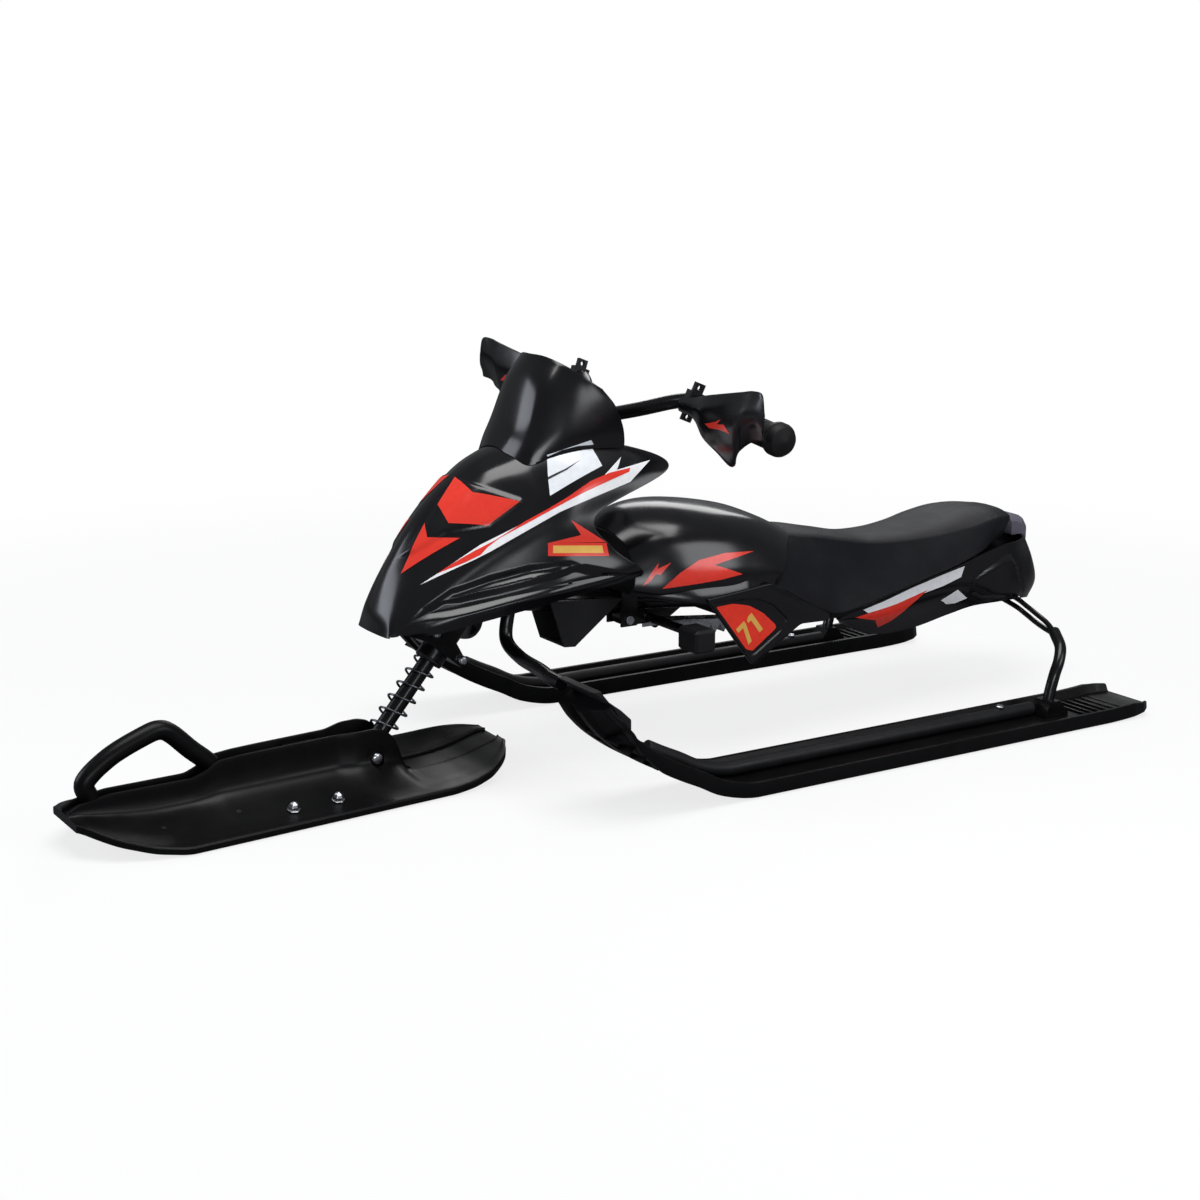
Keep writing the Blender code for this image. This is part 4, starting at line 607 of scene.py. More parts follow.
def front_ski():
    stations = [0.131, 0.1325, 0.1345, 0.137, 0.14]
    while stations[-1] < 0.599:
        stations.append(stations[-1] + 0.003)
    rings = []
    for x in stations + [0.602]:
        half = [Vector((x, y, z + ski_lift)) for y, z in front_section(x)]
        rings.append(half + mirrored(reversed(half)))
    hull = loft("ski_hull", rings)
    boss_half = 0.0218
    clear = 0.03
    boss = pin("boss", ski_pivot, (0, 1, 0), 0.0135, -boss_half, boss_half, 40)
    slot = block("boss_slot", (ski_pivot.x - clear, -channel_half, ski_pivot.z - clear),
                 (ski_pivot.x + clear, channel_half, ski_pivot.z + clear))
    cut(boss, slot)
    settle(boss, slot)
    cut(hull, boss, "UNION")
    face = cheek_half + 0.0008
    holes = [pin("pivot_bore", ski_pivot, (0, 1, 0), pivot_bolt_radius + seat_gap, -clear, clear)]
    holes += [pin("spot", ski_pivot, (0, side, 0), 0.008, face, face + clear) for side in (1, -1)]
    for hole in holes:
        cut(hull, hole)
    settle(hull, boss, *holes)
    tree = surface_tree(hull)
    # Dark film discs on both flares stand for the holes there: painted shade, the holes themselves are not cut
    for number, x, y, z in (("1", 0.446, 0.042, 0.03), ("2", 0.522, 0.04, 0.036)):
        turns = [math.radians(30 * i) for i in range(12)]
        disc = [(x + 0.0026 * math.cos(turn), y + 0.0026 * math.sin(turn), z) for turn in turns]
        both_sides("flare_hole_shade_" + number, disc, tree, dark_film, 0.0002, (0.0, 0.4, 1.0), 0.004,
                   body="front_ski_set", slot="ski_black", matrix=steer_turn)
    belongs(hull, "front_ski_set", "ski_black", "front_ski", matrix=steer_turn)

    path = smooth_path([(0.578, 0, 0.0415), (0.581, 0, 0.058), (0.556, 0, 0.078), (0.522, 0, 0.092),
                        (0.506, 0, 0.095), (0.494, 0, 0.0885), (0.476, 0, 0.0705), (0.462, 0, 0.058),
                        (0.454, 0, 0.05)], 8)
    loop = tube("lifting_loop", [p + Vector((0.0, 0.0, ski_lift)) for p in path], loop_radius)
    bed = []
    depth = 0.04
    half = loop_radius + 0.002
    for x in (0.43, 0.452, 0.466, 0.478, 0.56, 0.592, 0.602):
        top = along(front_ridge, x) + ski_lift + seat_gap
        bed.append([Vector((x, half, top)), Vector((x, -half, top)), Vector((x, -half, top - depth)),
                    Vector((x, half, top - depth))])
    ridge = loft("loop_bed", bed)
    cut(loop, ridge)
    settle(loop, ridge)
    belongs(loop, "front_ski_set", "ski_black", "nose_loop", matrix=steer_turn)

    out = face + seat_gap
    half = [(0.0, out + 0.0052), (0.0025, out + 0.0051), (0.0045, out + 0.0045), (0.0055, out + 0.0037),
            (0.0055, out + 0.0031), (0.0058, out + 0.0027), (0.0058, out), (pivot_bolt_radius, out)]
    profile = half + [(radius, -height) for radius, height in reversed(half)]
    bolt = turned("ski_bolt", profile, ski_pivot, (0, 1, 0), 24)
    belongs(bolt, "front_ski_set", "zinc", "pivot_bolt", matrix=steer_turn)


# Fork, spring and head, turned about the steering axis
def fork():
    low = spring_low + seat_gap
    leg = turned("fork_leg", [(fork_bore, low), (fork_radius, low), (fork_radius, fork_top - 0.0006),
                              (fork_radius - 0.0006, fork_top), (fork_bore, fork_top)], sides=36, closed=True)
    belongs(leg, "fork", "frame_black", "fork_tube", matrix=steer_turn @ steer_lean)
    low += spring_wire
    seat_top = head_low - bush_flange
    high = seat_top - seat_gap - spring_wire
    steps = spring_turns * 40
    path = []
    for i in range(steps + 1):
        turn = 2 * math.pi * i / 40
        path.append(Vector((math.cos(turn) * spring_radius, math.sin(turn) * spring_radius,
                            low + (high - low) * i / steps)))
    wire = tube("spring_wire", path, spring_wire, 10)
    belongs(wire, "steering", "spring_steel", "coil_spring", matrix=steer_turn @ steer_lean)
    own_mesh(wire)


def head():
    top = head_low + head_length
    sleeve = head_bore - seat_gap
    slide = fork_radius + running_gap
    low = head_low - bush_flange
    high = top + bush_flange
    for name, slot, node, profile in (
            ("head_barrel", "frame_black", "head_tube",
             [(head_bore, head_low), (head_radius - 0.0005, head_low), (head_radius, head_low + 0.0005),
              (head_radius, top - 0.0005), (head_radius - 0.0005, top), (head_bore, top)]),
            ("lower_bearing", "matte_black", "lower_bush",
             [(slide, low), (head_radius - 0.0008, low), (head_radius, low + 0.0008),
              (head_radius, head_low - seat_gap), (sleeve, head_low - seat_gap), (sleeve, head_low + 0.02),
              (slide, head_low + 0.02)]),
            ("upper_bearing", "matte_black", "upper_bush",
             [(slide, top - 0.004), (sleeve, top - 0.004), (sleeve, top + seat_gap),
              (head_radius, top + seat_gap), (head_radius, high - 0.0008), (head_radius - 0.0008, high),
              (slide, high)])):
        belongs(turned(name, profile, sides=40, closed=True), "frame", slot, node, matrix=steer_lean)
    shoulder = fork_top + fork_travel + 0.0045
    end = bar_height - 0.013
    rod = turned("column_rod", [(0.0, 0.06), (rod_radius, 0.06), (rod_radius, shoulder),
                                (fork_radius, shoulder), (fork_radius, end), (0.0, end)], sides=36)
    belongs(rod, "steering", "frame_black", "steering_column", matrix=steer_turn @ steer_lean)


# Handlebar, grips and guards
bar_middle = on_axis(bar_height)
bar_bend = Vector((-0.038, 0.099, 0.384))
bar_end = Vector((-0.033, grip_outer - 0.004, 0.366))
bar_out = (bar_end - bar_bend).normalized()


def on_bar(y):
    return bar_bend + bar_out * ((y - bar_bend.y) / bar_out.y)


def handlebar():
    left = smooth_path([bar_middle + Vector((0, 0.0155, 0)), bar_middle + Vector((-0.003, 0.026, 0.0015)),
                        (-0.013, 0.053, 0.371), (-0.03, 0.081, 0.38), bar_bend], 8)
    left += [bar_bend + (bar_end - bar_bend) * share for share in (0.1, 0.4, 0.7, 1.0)]
    bar = tube("bent_bar", mirrored(reversed(left)) + left, bar_radius)
    belongs(bar, "steering", "frame_black", "handlebar", matrix=bar_turn)
    start = on_bar(grip_inner)
    length = (on_bar(grip_outer) - start).length
    bore_radius = bar_radius + seat_gap
    blind = (bar_end - start).length + seat_gap
    profile = [(0.0, blind), (bore_radius, blind), (bore_radius, 0.0), (grip_radius + 0.0025, 0.0),
               (grip_radius + 0.003, 0.0006), (grip_radius + 0.003, 0.0042), (grip_radius + 0.0024, 0.005)]
    rings = 15
    pitch = (length * 0.8 - 0.0075) / rings
    for k in range(rings):
        at = 0.0075 + pitch * k
        profile += [(grip_radius - 0.0011, at), (grip_radius - 0.0011, at + pitch * 0.25),
                    (grip_radius, at + pitch * 0.4), (grip_radius, at + pitch * 0.85)]
    profile += [(grip_radius * 0.93, length * 0.83), (grip_radius * 0.95, length * 0.855)]
    profile += [(grip_flange * wide, length * far) for wide, far in (
        (0.96, 0.885), (1.0, 0.905), (1.0, 0.935), (0.93, 0.945), (0.93, 0.955), (1.0, 0.965), (0.97, 0.985),
        (0.84, 1.02), (0.62, 1.034), (0.45, 1.04), (0.2, 1.058), (0.0, 1.065))]
    for side, label in both:
        base = (start.x, start.y * side, start.z)
        grip = turned(label + "_rubber_grip", profile, base, (bar_out.x, bar_out.y * side, bar_out.z), 40)
        belongs(grip, "steering", "matte_black", label + "_grip", skin=grip_rubber, matrix=bar_turn)


guard_columns = metres([
    [(-25.7, 101, 374), (-24.2, 101.3, 378.2), (-24.2, 101.6, 383.2), (-25.7, 101.8, 388.2)],
    [(-20.6, 133.6, 370.4), (-18.6, 134.1, 377.4), (-18.6, 134.5, 385.3), (-21.6, 134.7, 392.3)],
    [(-13.9, 159, 355.7), (-11.4, 159.8, 369.7), (-10.9, 161.4, 383.9), (-14.9, 161.5, 398.1)],
    [(-9.3, 188.8, 345.9), (-6.3, 190.7, 365.1), (-5.2, 194.1, 384.8), (-10.2, 195.2, 404.3)],
    [(-7.6, 217.3, 335.6), (-4.1, 221.1, 360.8), (-2.4, 226, 386.2), (-7.2, 230.2, 410.5)],
    [(-8.2, 227.9, 352.6), (-5.1, 233.5, 371.2), (-2.9, 241.6, 392.4), (-7, 248.7, 413.6)],
    [(-8.8, 248.2, 364.6), (-6.2, 252.1, 377.5), (-3, 258.9, 391.7), (-5, 263.6, 411.7)],
    [(-8, 267.4, 367.3), (-6.4, 266.9, 374.1), (-4.2, 268.1, 382.4), (-4.5, 268.9, 392.5)],
])
guard_mark = metres([(-9.7, 169.5, 371.5), (-5.6, 192.7, 376.9), (-4.6, 202.9, 380.9), (-5.5, 195.5, 374.8),
                     (-4.4, 208.4, 376.5), (-3.8, 219.5, 368.7), (-5.3, 201, 370.2), (-8.3, 178.6, 368.7)])


def handguards():
    for side, label in both:
        columns = guard_columns if side == 1 else [mirrored(column) for column in guard_columns]
        guard = sheet(label + "_guard_shell", fine_lines(columns, 6, 6))
        mark = guard_mark if side == 1 else mirrored(guard_mark)
        film_on(label + "_guard_flash", mark, surface_tree(guard), red_film, 0.0003, (1.0, 0.0, 0.0), 0.002,
                body="steering", matrix=bar_turn)
        thicken(guard, 0.0, guard_wall)
        settle(guard)
        softened(guard, 0.0005)
        belongs(guard, "steering", "gloss_black", label + "_handguard", matrix=bar_turn)


# Rear skis: the running face's line and, along x, shares of the width and height, the rim and the deck
track_line = metres([
    (-588, 5.5), (-560.5, 1.8), (-521.5, 0), (-470, 0), (-400, 0), (-272, 0), (-160, 0), (-100, 0), (-60, 0),
    (-23.5, 0.8), (12, 9.5), (39, 23), (63, 34.5), (91, 50), (120, 71), (139, 90), (152, 107.5)])
track_widths = [(-0.588, 0.8), (-0.578, 0.95), (-0.5605, 1.0), (0.141, 1.0), (0.152, 0.93)]
track_heights = [(-0.588, 0.55), (-0.5605, 1.0), (0.152, 1.0)]
track_rims = [(0.075, 0.0), (0.096, 0.0047), (0.109, 0.0074), (0.119, 0.011), (0.127, 0.014), (0.142, 0.0145),
              (0.152, 0.012)]
track_decks = [(0.09, ski_deck), (0.109, 0.012), (0.119, 0.0155), (0.127, 0.0185), (0.152, 0.019)]


def track_points(steps):
    """Points on the running face's line, each with the way up from it."""
    curve = smooth_path([(x, 0.0, z) for x, z in track_line], steps)
    line = [Vector((p.x, 0.0, max(p.z, 0.0))) for p in curve]
    found = []
    for before, point, after in zip(line[:1] + line, line, line[1:] + line[-1:]):
        ahead = (after - before).normalized()
        found.append((point, Vector((-ahead.z, 0.0, ahead.x))))
    return found


def track_section(x):
    k = along(track_widths, x)
    half = ski_half * k
    tall = along(track_heights, x)
    rim = along(track_rims, x)
    lip = (ski_flange + 0.003) * (0.5 + 0.5 * tall)
    groove = ski_groove * tall
    deck = along(track_decks, x) * (0.4 + 0.6 * tall)
    edge = max(ski_flange * tall, rim + 0.004)
    inner = max(lip, deck)
    corners = [
        (-half + 0.0015, 0.0), (-half + 0.013 * k, 0.0), (-half + 0.0145 * k, groove), (-0.0075 * k, groove),
        (-0.006 * k, 0.0), (0.006 * k, 0.0), (0.0075 * k, groove),
        (half - 0.0145 * k, max(groove, rim - 0.001)), (half - 0.013 * k, rim), (half, rim), (half, edge),
        (half - 0.0045 * k, edge), (half - 0.007 * k, deck), (-half + 0.009 * k, deck),
        (-half + 0.0055 * k, inner), (-half, inner), (-half, 0.0)]
    return rounded(corners, 0.0011, 2)


def rear_skis():
    for side, label in both:
        rings = []
        for point, up in track_points(12):
            spots = [(point + up * p.y, track_half + p.x) for p in track_section(point.x)]
            rings.append([Vector((spot.x, side * y, spot.z)) for spot, y in spots])
        belongs(loft(label + "_runner", rings), "frame", "ski_black", label + "_rear_ski")
        ends = sorted((side * (track_half - 0.026), side * (track_half + 0.03)))
        rungs = []
        for k in range(6):
            x = -0.499 - 0.011 * k
            rungs.append(block(label + "_tail_rungs", (x - 0.0016, ends[0], ski_deck - 0.002),
                               (x + 0.0016, ends[1], ski_deck + 0.0024)))
        belongs(softened(joined(rungs), 0.0006), "frame", "ski_black")
        ribs = []
        for x in (0.08, 0.097, 0.112, 0.126):
            point, up = min(track_points(12), key=lambda pair: abs(pair[0].x - x))
            ahead = Vector((up.z, 0.0, -up.x))
            corners = [point + ahead * a + up * b for a, b in ((-0.0009, 0.0004), (0.0009, 0.0004),
                                                               (0.0009, 0.0072), (-0.0009, 0.0072))]
            ribs.append(loft(label + "_nose_ribs", [[Vector((p.x, side * (track_half + reach), p.z))
                                                     for p in corners] for reach in (-0.0285, 0.027)]))
        belongs(joined(ribs), "frame", "ski_black")
        y = side * (track_half + rail_offset)
        high = rail_radius + seat_gap
        rail = [Vector((x, y, ski_deck + high)) for x in (-0.448, -0.24, -0.064)]
        for point, up in track_points(8):
            spot = point + up * (along(track_decks, point.x) + high)
            if -0.058 < spot.x < 0.07:
                rail.append(Vector((spot.x, y, spot.z)))
        bar = softened(tube(label + "_rail_tube", rail, rail_radius), 0.001, 3)
        belongs(bar, "frame", "matte_black", label + "_rail")


# Frame tubes
hoop_leg = [(-0.501, track_half * 0.84, 0.0935), (-0.498, track_half * 0.87, 0.0908),
            (-0.49, track_half * 0.95, 0.0815), (-0.481, track_half * 0.99, 0.069),
            (-0.4735, track_half, 0.055), (-0.468, track_half, 0.037), (-0.465, track_half, 0.024),
            (-0.4645, track_half, ski_deck + 0.0015)]
hoop_arm = [(-0.5365, 0.04, 0.112, 0.2), (-0.5385, 0.14, 0.1095, 0.8), (-0.537, 0.33, 0.1035, 1.0),
            (-0.526, 0.48, 0.101, 1.0), (-0.5145, 0.625, 0.0985, 1.0), (-0.5065, 0.75, 0.0955, 0.8),
            (-0.499, 0.86, 0.0917, 0.1)]
backbone_line = metres([
    (-529.7, 112.5), (-491.5, 122.5), (-291.5, 132), (-111.5, 150), (58.5, 166.5), (160, 180.9)])


def hoop_arms(side, name, radius, steps):
    """The rear hoop's two upper arms on one side, from the middle out to the leg."""
    arms = []
    for lift in (arm_apart, -arm_apart):
        way = smooth_path([(x, track_half * share, z + lift * rise) for x, share, z, rise in hoop_arm], steps)
        arms.append(tube(name, way if side == 1 else mirrored(way), radius, 20))
    return arms


def frame_tubes():
    spine = tube("spine_tube", [Vector((x, 0, z)) for x, z in backbone_line], backbone_radius, 32)
    socket = pin("head_socket", (0, 0, 0), (0, 0, 1), head_radius + seat_gap, head_low - 0.03,
                 head_low + head_length + 0.03, 48)
    socket.data.transform(steer_lean)
    cut(spine, socket)
    settle(spine, socket)
    belongs(spine, "frame", "frame_black", "backbone")
    hoop_x = 0.12
    over = along(backbone_line, hoop_x) + backbone_radius + hoop_radius + seat_gap + 0.0005
    inside = track_half - ski_half + 0.0095 - seat_gap
    left = smooth_path([(hoop_x, 0.0, over), (hoop_x + 0.001, 0.014, over - 0.0025),
                        (0.126, 0.0265, over - 0.014), (0.134, 0.03, over - 0.032),
                        (0.138, 0.035, 0.14), (0.137, 0.062, 0.1278),
                        (0.143, inside * 0.66, 0.1274), (0.149, inside * 0.84, 0.1274),
                        (0.151, inside * 0.93, 0.1274)], 8)
    left.append(Vector((0.151, inside, 0.1274)))
    front = tube("front_arch", mirrored(reversed(left[1:])) + left, hoop_radius)
    belongs(front, "frame", "frame_black", "front_hoop")
    middle = [Vector((-0.5365, share * track_half, 0.112)) for share in (-0.09, -0.03, 0.03, 0.09)]
    hoop = tube("rear_arch", middle, rear_hoop_radius)
    low = ski_deck + seat_gap
    foot = [(-0.4845, low), (-0.4505, low), (-0.4505, low + 0.003), (-0.4575, 0.027), (-0.4715, 0.027),
            (-0.4845, low + 0.003)]
    extras = []
    for side in (1, -1):
        extras += hoop_arms(side, "hoop_arm", arm_radius, 6)
        leg = smooth_path(hoop_leg, 8)
        extras.append(tube("hoop_leg", leg if side == 1 else mirrored(leg), rear_hoop_radius))
        extras.append(prism("hoop_foot", foot, (side * (track_half - 0.0115), side * (track_half + 0.0125))))
    for extra in extras:
        cut(hoop, extra, "UNION")
    settle(hoop, *extras)
    belongs(hoop, "frame", "frame_black", "rear_hoop")


# Covers: the same control points as the part's, in millimetres. The cowl's lines run from its middle outwards
# and down, each from front to rear.
cowl_control = metres([
    [(275, 0, 160), (270.5, 0, 185), (253, 0, 226), (217.5, 0, 276), (171, 0, 316), (134, 0, 334.5),
     (103.5, 0, 340), (70.5, 0, 340)],
    [(272.5, 31, 159.5), (266.5, 24, 186), (249, 16.5, 225), (214.5, 14, 274.5), (168.5, 16, 314.5),
     (131.5, 22, 332), (100.5, 30, 339), (64.5, 34, 340)],
    [(269.5, 36, 161), (258.5, 38, 187), (238.5, 36, 222), (204.5, 36, 265), (163.5, 40, 304),
     (123.5, 48, 322), (78.5, 56, 338), (6.5, 62, 334)],
    [(265.5, 42, 163), (248.5, 50, 185), (223.5, 56, 212), (191.5, 63, 238), (153.5, 70, 264),
     (113.5, 77, 287), (63.5, 83, 307), (-24, 88, 312)],
    [(262.5, 44, 163.5), (243.5, 55, 182), (216.5, 63, 204), (184.5, 71, 226), (148.5, 79, 247),
     (113.5, 86, 263), (88.5, 90, 270), (64.5, 92, 273)],
    [(259.5, 46, 163.5), (238.5, 59, 177), (210.5, 69, 193), (178.5, 78, 209), (143.5, 86, 224),
     (108.5, 93, 234), (78.5, 97, 238), (51.5, 99, 240)],
    [(256.5, 47, 163), (234.5, 62, 171), (204.5, 75, 182), (171.5, 87, 193), (135.5, 97, 203),
     (98.5, 103, 210), (58.5, 105, 213), (18.5, 103, 215)],
    [(254.5, 44, 160.5), (230.5, 60, 164), (200.5, 72, 171.5), (166.5, 84, 179.5), (130.5, 93, 187),
     (93.5, 98, 194), (53.5, 99, 200), (10.5, 94, 204.5)],
])

# Windshield: lines from the middle round to the side, each from its foot on the cowl to the upper edge
screen_control = metres([
    [(134.5, 0, 331), (126.5, 0, 345), (117, 0, 363), (103, 0, 403), (88, 0, 428)],
    [(132.5, 24, 329.5), (124.5, 26, 345), (115, 26, 363), (100.5, 25, 402), (84, 22, 427)],
    [(124, 48, 320.5), (117, 48, 340), (108, 46, 361), (92, 44, 398), (76, 40, 421.5)],
    [(100.5, 57.5, 323), (94, 58.5, 342), (87, 58, 360), (75, 55, 390), (66, 49, 414.5)],
    [(60, 62.5, 327.5), (58, 64.5, 344), (56, 64, 360), (53.5, 61, 384), (54.5, 56, 406)],
    [(15, 64.5, 329), (15.5, 66.5, 343), (18, 66.5, 358), (26, 65, 378), (39, 62, 394.5)],
])

# Tank cover: lines from the middle outwards and down, each from front to rear
tank_control = metres([
    [(8.5, 0, 240), (-21.5, 0, 258), (-61.5, 0, 263), (-106.5, 0, 259), (-151.5, 0, 250), (-184.5, 0, 237.5),
     (-212.5, 0, 223.5)],
    [(6.5, 30, 236), (-23.5, 34, 252), (-61.5, 40, 257), (-106.5, 43, 253), (-151.5, 44, 243),
     (-184.5, 43.5, 232), (-212.5, 41.5, 218.5)],
    [(2.5, 52, 222), (-25.5, 62, 234), (-61.5, 70, 238), (-106.5, 74, 234), (-146.5, 74.2, 225.5),
     (-171.5, 72, 217.5), (-192.5, 69.5, 208.5)],
    [(0.5, 62, 200), (-27.5, 74, 208), (-61.5, 83, 210), (-101.5, 88, 207), (-136.5, 88, 202),
     (-161.5, 87, 196), (-179.5, 85, 190)],
    [(2.5, 64, 184), (-25.5, 78, 181), (-61.5, 88, 184), (-98.5, 92.5, 187), (-128.5, 92, 184.5),
     (-148.5, 91, 181.5), (-163.5, 89.5, 177.5)],
    [(4.5, 60, 176), (-23.5, 72, 171), (-61.5, 82, 171), (-95.5, 89, 168.5), (-124.5, 90.5, 166.5),
     (-144.5, 90.5, 165), (-160, 89.5, 163)],
])

# Tail cover: lines from the upper edge down to the lower edge, each from the front round to the tail's middle
tail_control = metres([
    [(-253.5, 84, 122.5), (-321.5, 84, 137.5), (-381.5, 82, 151.5), (-431.5, 80, 161.5), (-464, 79, 170),
     (-501.5, 75, 176.5), (-541.5, 62, 177), (-570, 40, 177), (-576.5, 0, 177)],
    [(-256, 83, 119.5), (-321.5, 83, 118), (-381.5, 80, 127), (-431.5, 78.5, 136), (-464, 78, 142),
     (-501.5, 76.5, 149), (-545, 67, 152), (-580, 45, 150), (-590, 0, 150)],
    [(-260, 78, 117), (-321.5, 72, 101), (-381.5, 69, 105), (-431.5, 71, 114), (-464, 74.5, 121),
     (-501.5, 76.5, 126.5), (-542.5, 72.5, 126), (-583, 49, 124), (-595, 0, 124)],
    [(-264, 74, 115), (-321.5, 63, 92), (-381.5, 59, 90), (-431.5, 65, 101), (-464, 71, 108.5),
     (-501.5, 75, 110), (-540, 71.5, 109), (-574, 46, 102), (-588, 0, 96)],
])

# Seat sections: x, z and half width, each at the top and then at the foot, and z of the underside
seat_control = metres([
    (-200, -150, 216.5, 164, 40, 84, 170), (-215, -168, 216.5, 164, 47, 87.5, 170),
    (-235, -195, 214, 148, 53, 89, 161), (-253.5, -224.5, 212, 132, 56, 90, 160),
    (-291.5, -253.5, 204, 124, 56, 90, 157.5), (-336.5, -313.5, 195.5, 137, 51, 90, 156),
    (-386.5, -381.5, 194.5, 153, 54, 88, 161), (-431.5, -431.5, 198, 163, 60, 85, 170),
    (-471.5, -466.5, 204.5, 172, 65, 80, 178), (-511.5, -496.5, 210.5, 178.5, 60, 66, 183),
    (-545, -526.5, 208, 179, 44, 48, 183.5),
])

# Moulded features: outlines of (x, z) on a cover's side
lens_recess = metres([
    (262.4, 172.8), (243.7, 192.7), (216, 209.8), (178.1, 222), (138.9, 229.7), (98.5, 231), (67.3, 222.5),
    (32, 211.4), (41.4, 203.4), (78.3, 200.9), (123.2, 197.5), (163.9, 191.6), (201.9, 183.5),
    (237.7, 177.6), (262.6, 171.9)])
lens_rise = metres([
    (232, 195.8), (216.5, 205.9), (188.3, 214.7), (149.4, 223.5), (109.3, 228.9), (83, 227.8), (82.9, 223),
    (101.5, 216.9), (133.3, 209.5), (172.4, 200.8), (209.2, 194.2), (230.5, 193.8)])
hood_rise = metres([
    (249, 233), (203.6, 288.5), (178.5, 309.6), (130.8, 290.5), (167.8, 266), (206.7, 258.2), (233, 240)])
tail_pod = metres([
    (-454.5, 124.9), (-454.9, 144.5), (-474.8, 154), (-505.1, 164.4), (-522.8, 165.3), (-536.1, 152.7),
    (-544, 132.7), (-547, 118), (-538.3, 112), (-503.3, 112.9), (-473, 116.4)])


def smoothstep(value, high):
    t = min(max(value / high, 0.0), 1.0)
    return t * t * (3 - 2 * t)


def depth_in(outline, a, b):
    """How far a point is inside a flat outline, in metres, or minus how far outside."""
    inside = False
    nearest = 1.0
    for (p, q), (r, s) in zip(outline, outline[1:] + outline[:1]):
        if (q > b) != (s > b) and a < p + (r - p) * (b - q) / (s - q):
            inside = not inside
        long = (r - p) ** 2 + (s - q) ** 2
        t = min(max(((a - p) * (r - p) + (b - q) * (s - q)) / long, 0.0), 1.0)
        nearest = min(nearest, math.hypot(a - p - (r - p) * t, b - q - (s - q) * t))
    return nearest if inside else -nearest


def near(outline, p):
    return (min(a for a, b in outline) < p.x < max(a for a, b in outline)
            and min(b for a, b in outline) < p.z < max(b for a, b in outline))


def shaped(lines, features):
    """Moves the points of a cover's lines in or out along their normals where a moulded feature lies.

    A feature is an outline, its height out of the surface, its ramp and the range of y that it lies in.
    """
    found = []
    for i, line in enumerate(lines):
        row = []
        for k, p in enumerate(line):
            change = 0.0
            for outline, height, ramp, low_y, high_y in features:
                if low_y <= abs(p.y) <= high_y and near(outline, p):
                    change += height * smoothstep(depth_in(outline, p.x, p.z), ramp)
            if change:
                ahead = line[min(k + 1, len(line) - 1)] - line[max(k - 1, 0)]
                beside = lines[min(i + 1, len(lines) - 1)][k] - lines[max(i - 1, 0)][k]
                out = ahead.cross(beside).normalized()
                if out.dot(Vector((0.3, p.y, p.z - 0.2))) < 0.0:
                    out = -out
                p = p + out * change
            row.append(p)
        found.append(row)
    return found


film_beds = {}


def cover(name, lines, wall=cover_wall):
    """A moulded cover with its wall inside its surface. The surface is kept to lay films on."""
    piece = sheet(name, lines, cover_angle)
    film_beds[name] = surface_tree(piece)
    thicken(piece, 0.0, wall)
    return piece


def cowl():
    features = [(lens_recess, -0.0044, 0.01, 0.03, 0.2), (lens_rise, 0.0036, 0.01, 0.05, 0.2),
                (hood_rise, 0.0018, 0.004, 0.0, 0.075)]
    lines = shaped(fine_lines(full_width(cowl_control), 32, 19), features)
    surface = settle(cover("cowl_surface", lines), sharp=cover_angle)
    softened(surface, cover_edge, sharp=cover_angle)
    belongs(surface, "frame", "gloss_black", "nose_cowl")
    screen = cover("screen_surface", fine_lines(full_width(screen_control), 8, 8), screen_wall)
    bed = sheet("screen_bed", lines)
    thicken(bed, seat_gap + 0.0005, 0.007)
    settle(bed)
    cut(screen, bed)
    settle(screen, bed, sharp=cover_angle)
    softened(screen, 0.0006, sharp=cover_angle)
    belongs(screen, "frame", "gloss_black", "windshield")


def tank():
    surface = settle(cover("tank_surface", fine_lines(full_width(tank_control), 12, 9)), sharp=cover_angle)
    softened(surface, cover_edge, sharp=cover_angle)
    belongs(surface, "frame", "gloss_black", "tank_cover")
    # The skirt under the tank's side: x and z of its upper edge, x and z of its lower edge, and its share out
    skirt = [(-0.0065, 0.177, -0.011, 0.1745, 0.0), (-0.0226, 0.1795, -0.03, 0.1725, 0.4),
             (-0.0629, 0.1835, -0.069, 0.1675, 1.0), (-0.1171, 0.1865, -0.1154, 0.167, 1.0),
             (-0.1302, 0.185, -0.13, 0.171, 0.7), (-0.142, 0.182, -0.14, 0.1735, 0.2)]
    side_face = [(-0.142, 0.0915), (-0.0985, 0.0915), (-0.0615, 0.087), (-0.0255, 0.077), (0.0, 0.064)]
    rings = []
    for high_x, high_z, low_x, low_z, share in skirt:
        side_y = along(side_face, high_x)
        reach = side_y + 0.0012 + 0.0055 * share
        rings.append([(high_x, side_y - 0.001, high_z), (low_x, reach, low_z),
                      (low_x, reach - 0.0006, low_z - 0.002 - 0.0015 * share),
                      (high_x, side_y - 0.003, low_z - 0.003)])
    rings = smooth_rings(rings, 6)
    for side, label in both:
        piece = loft(label + "_tank_skirt", rings if side == 1 else [mirrored(ring) for ring in rings])
        belongs(softened(piece, cover_edge, sharp=50.0), "frame", "gloss_black")


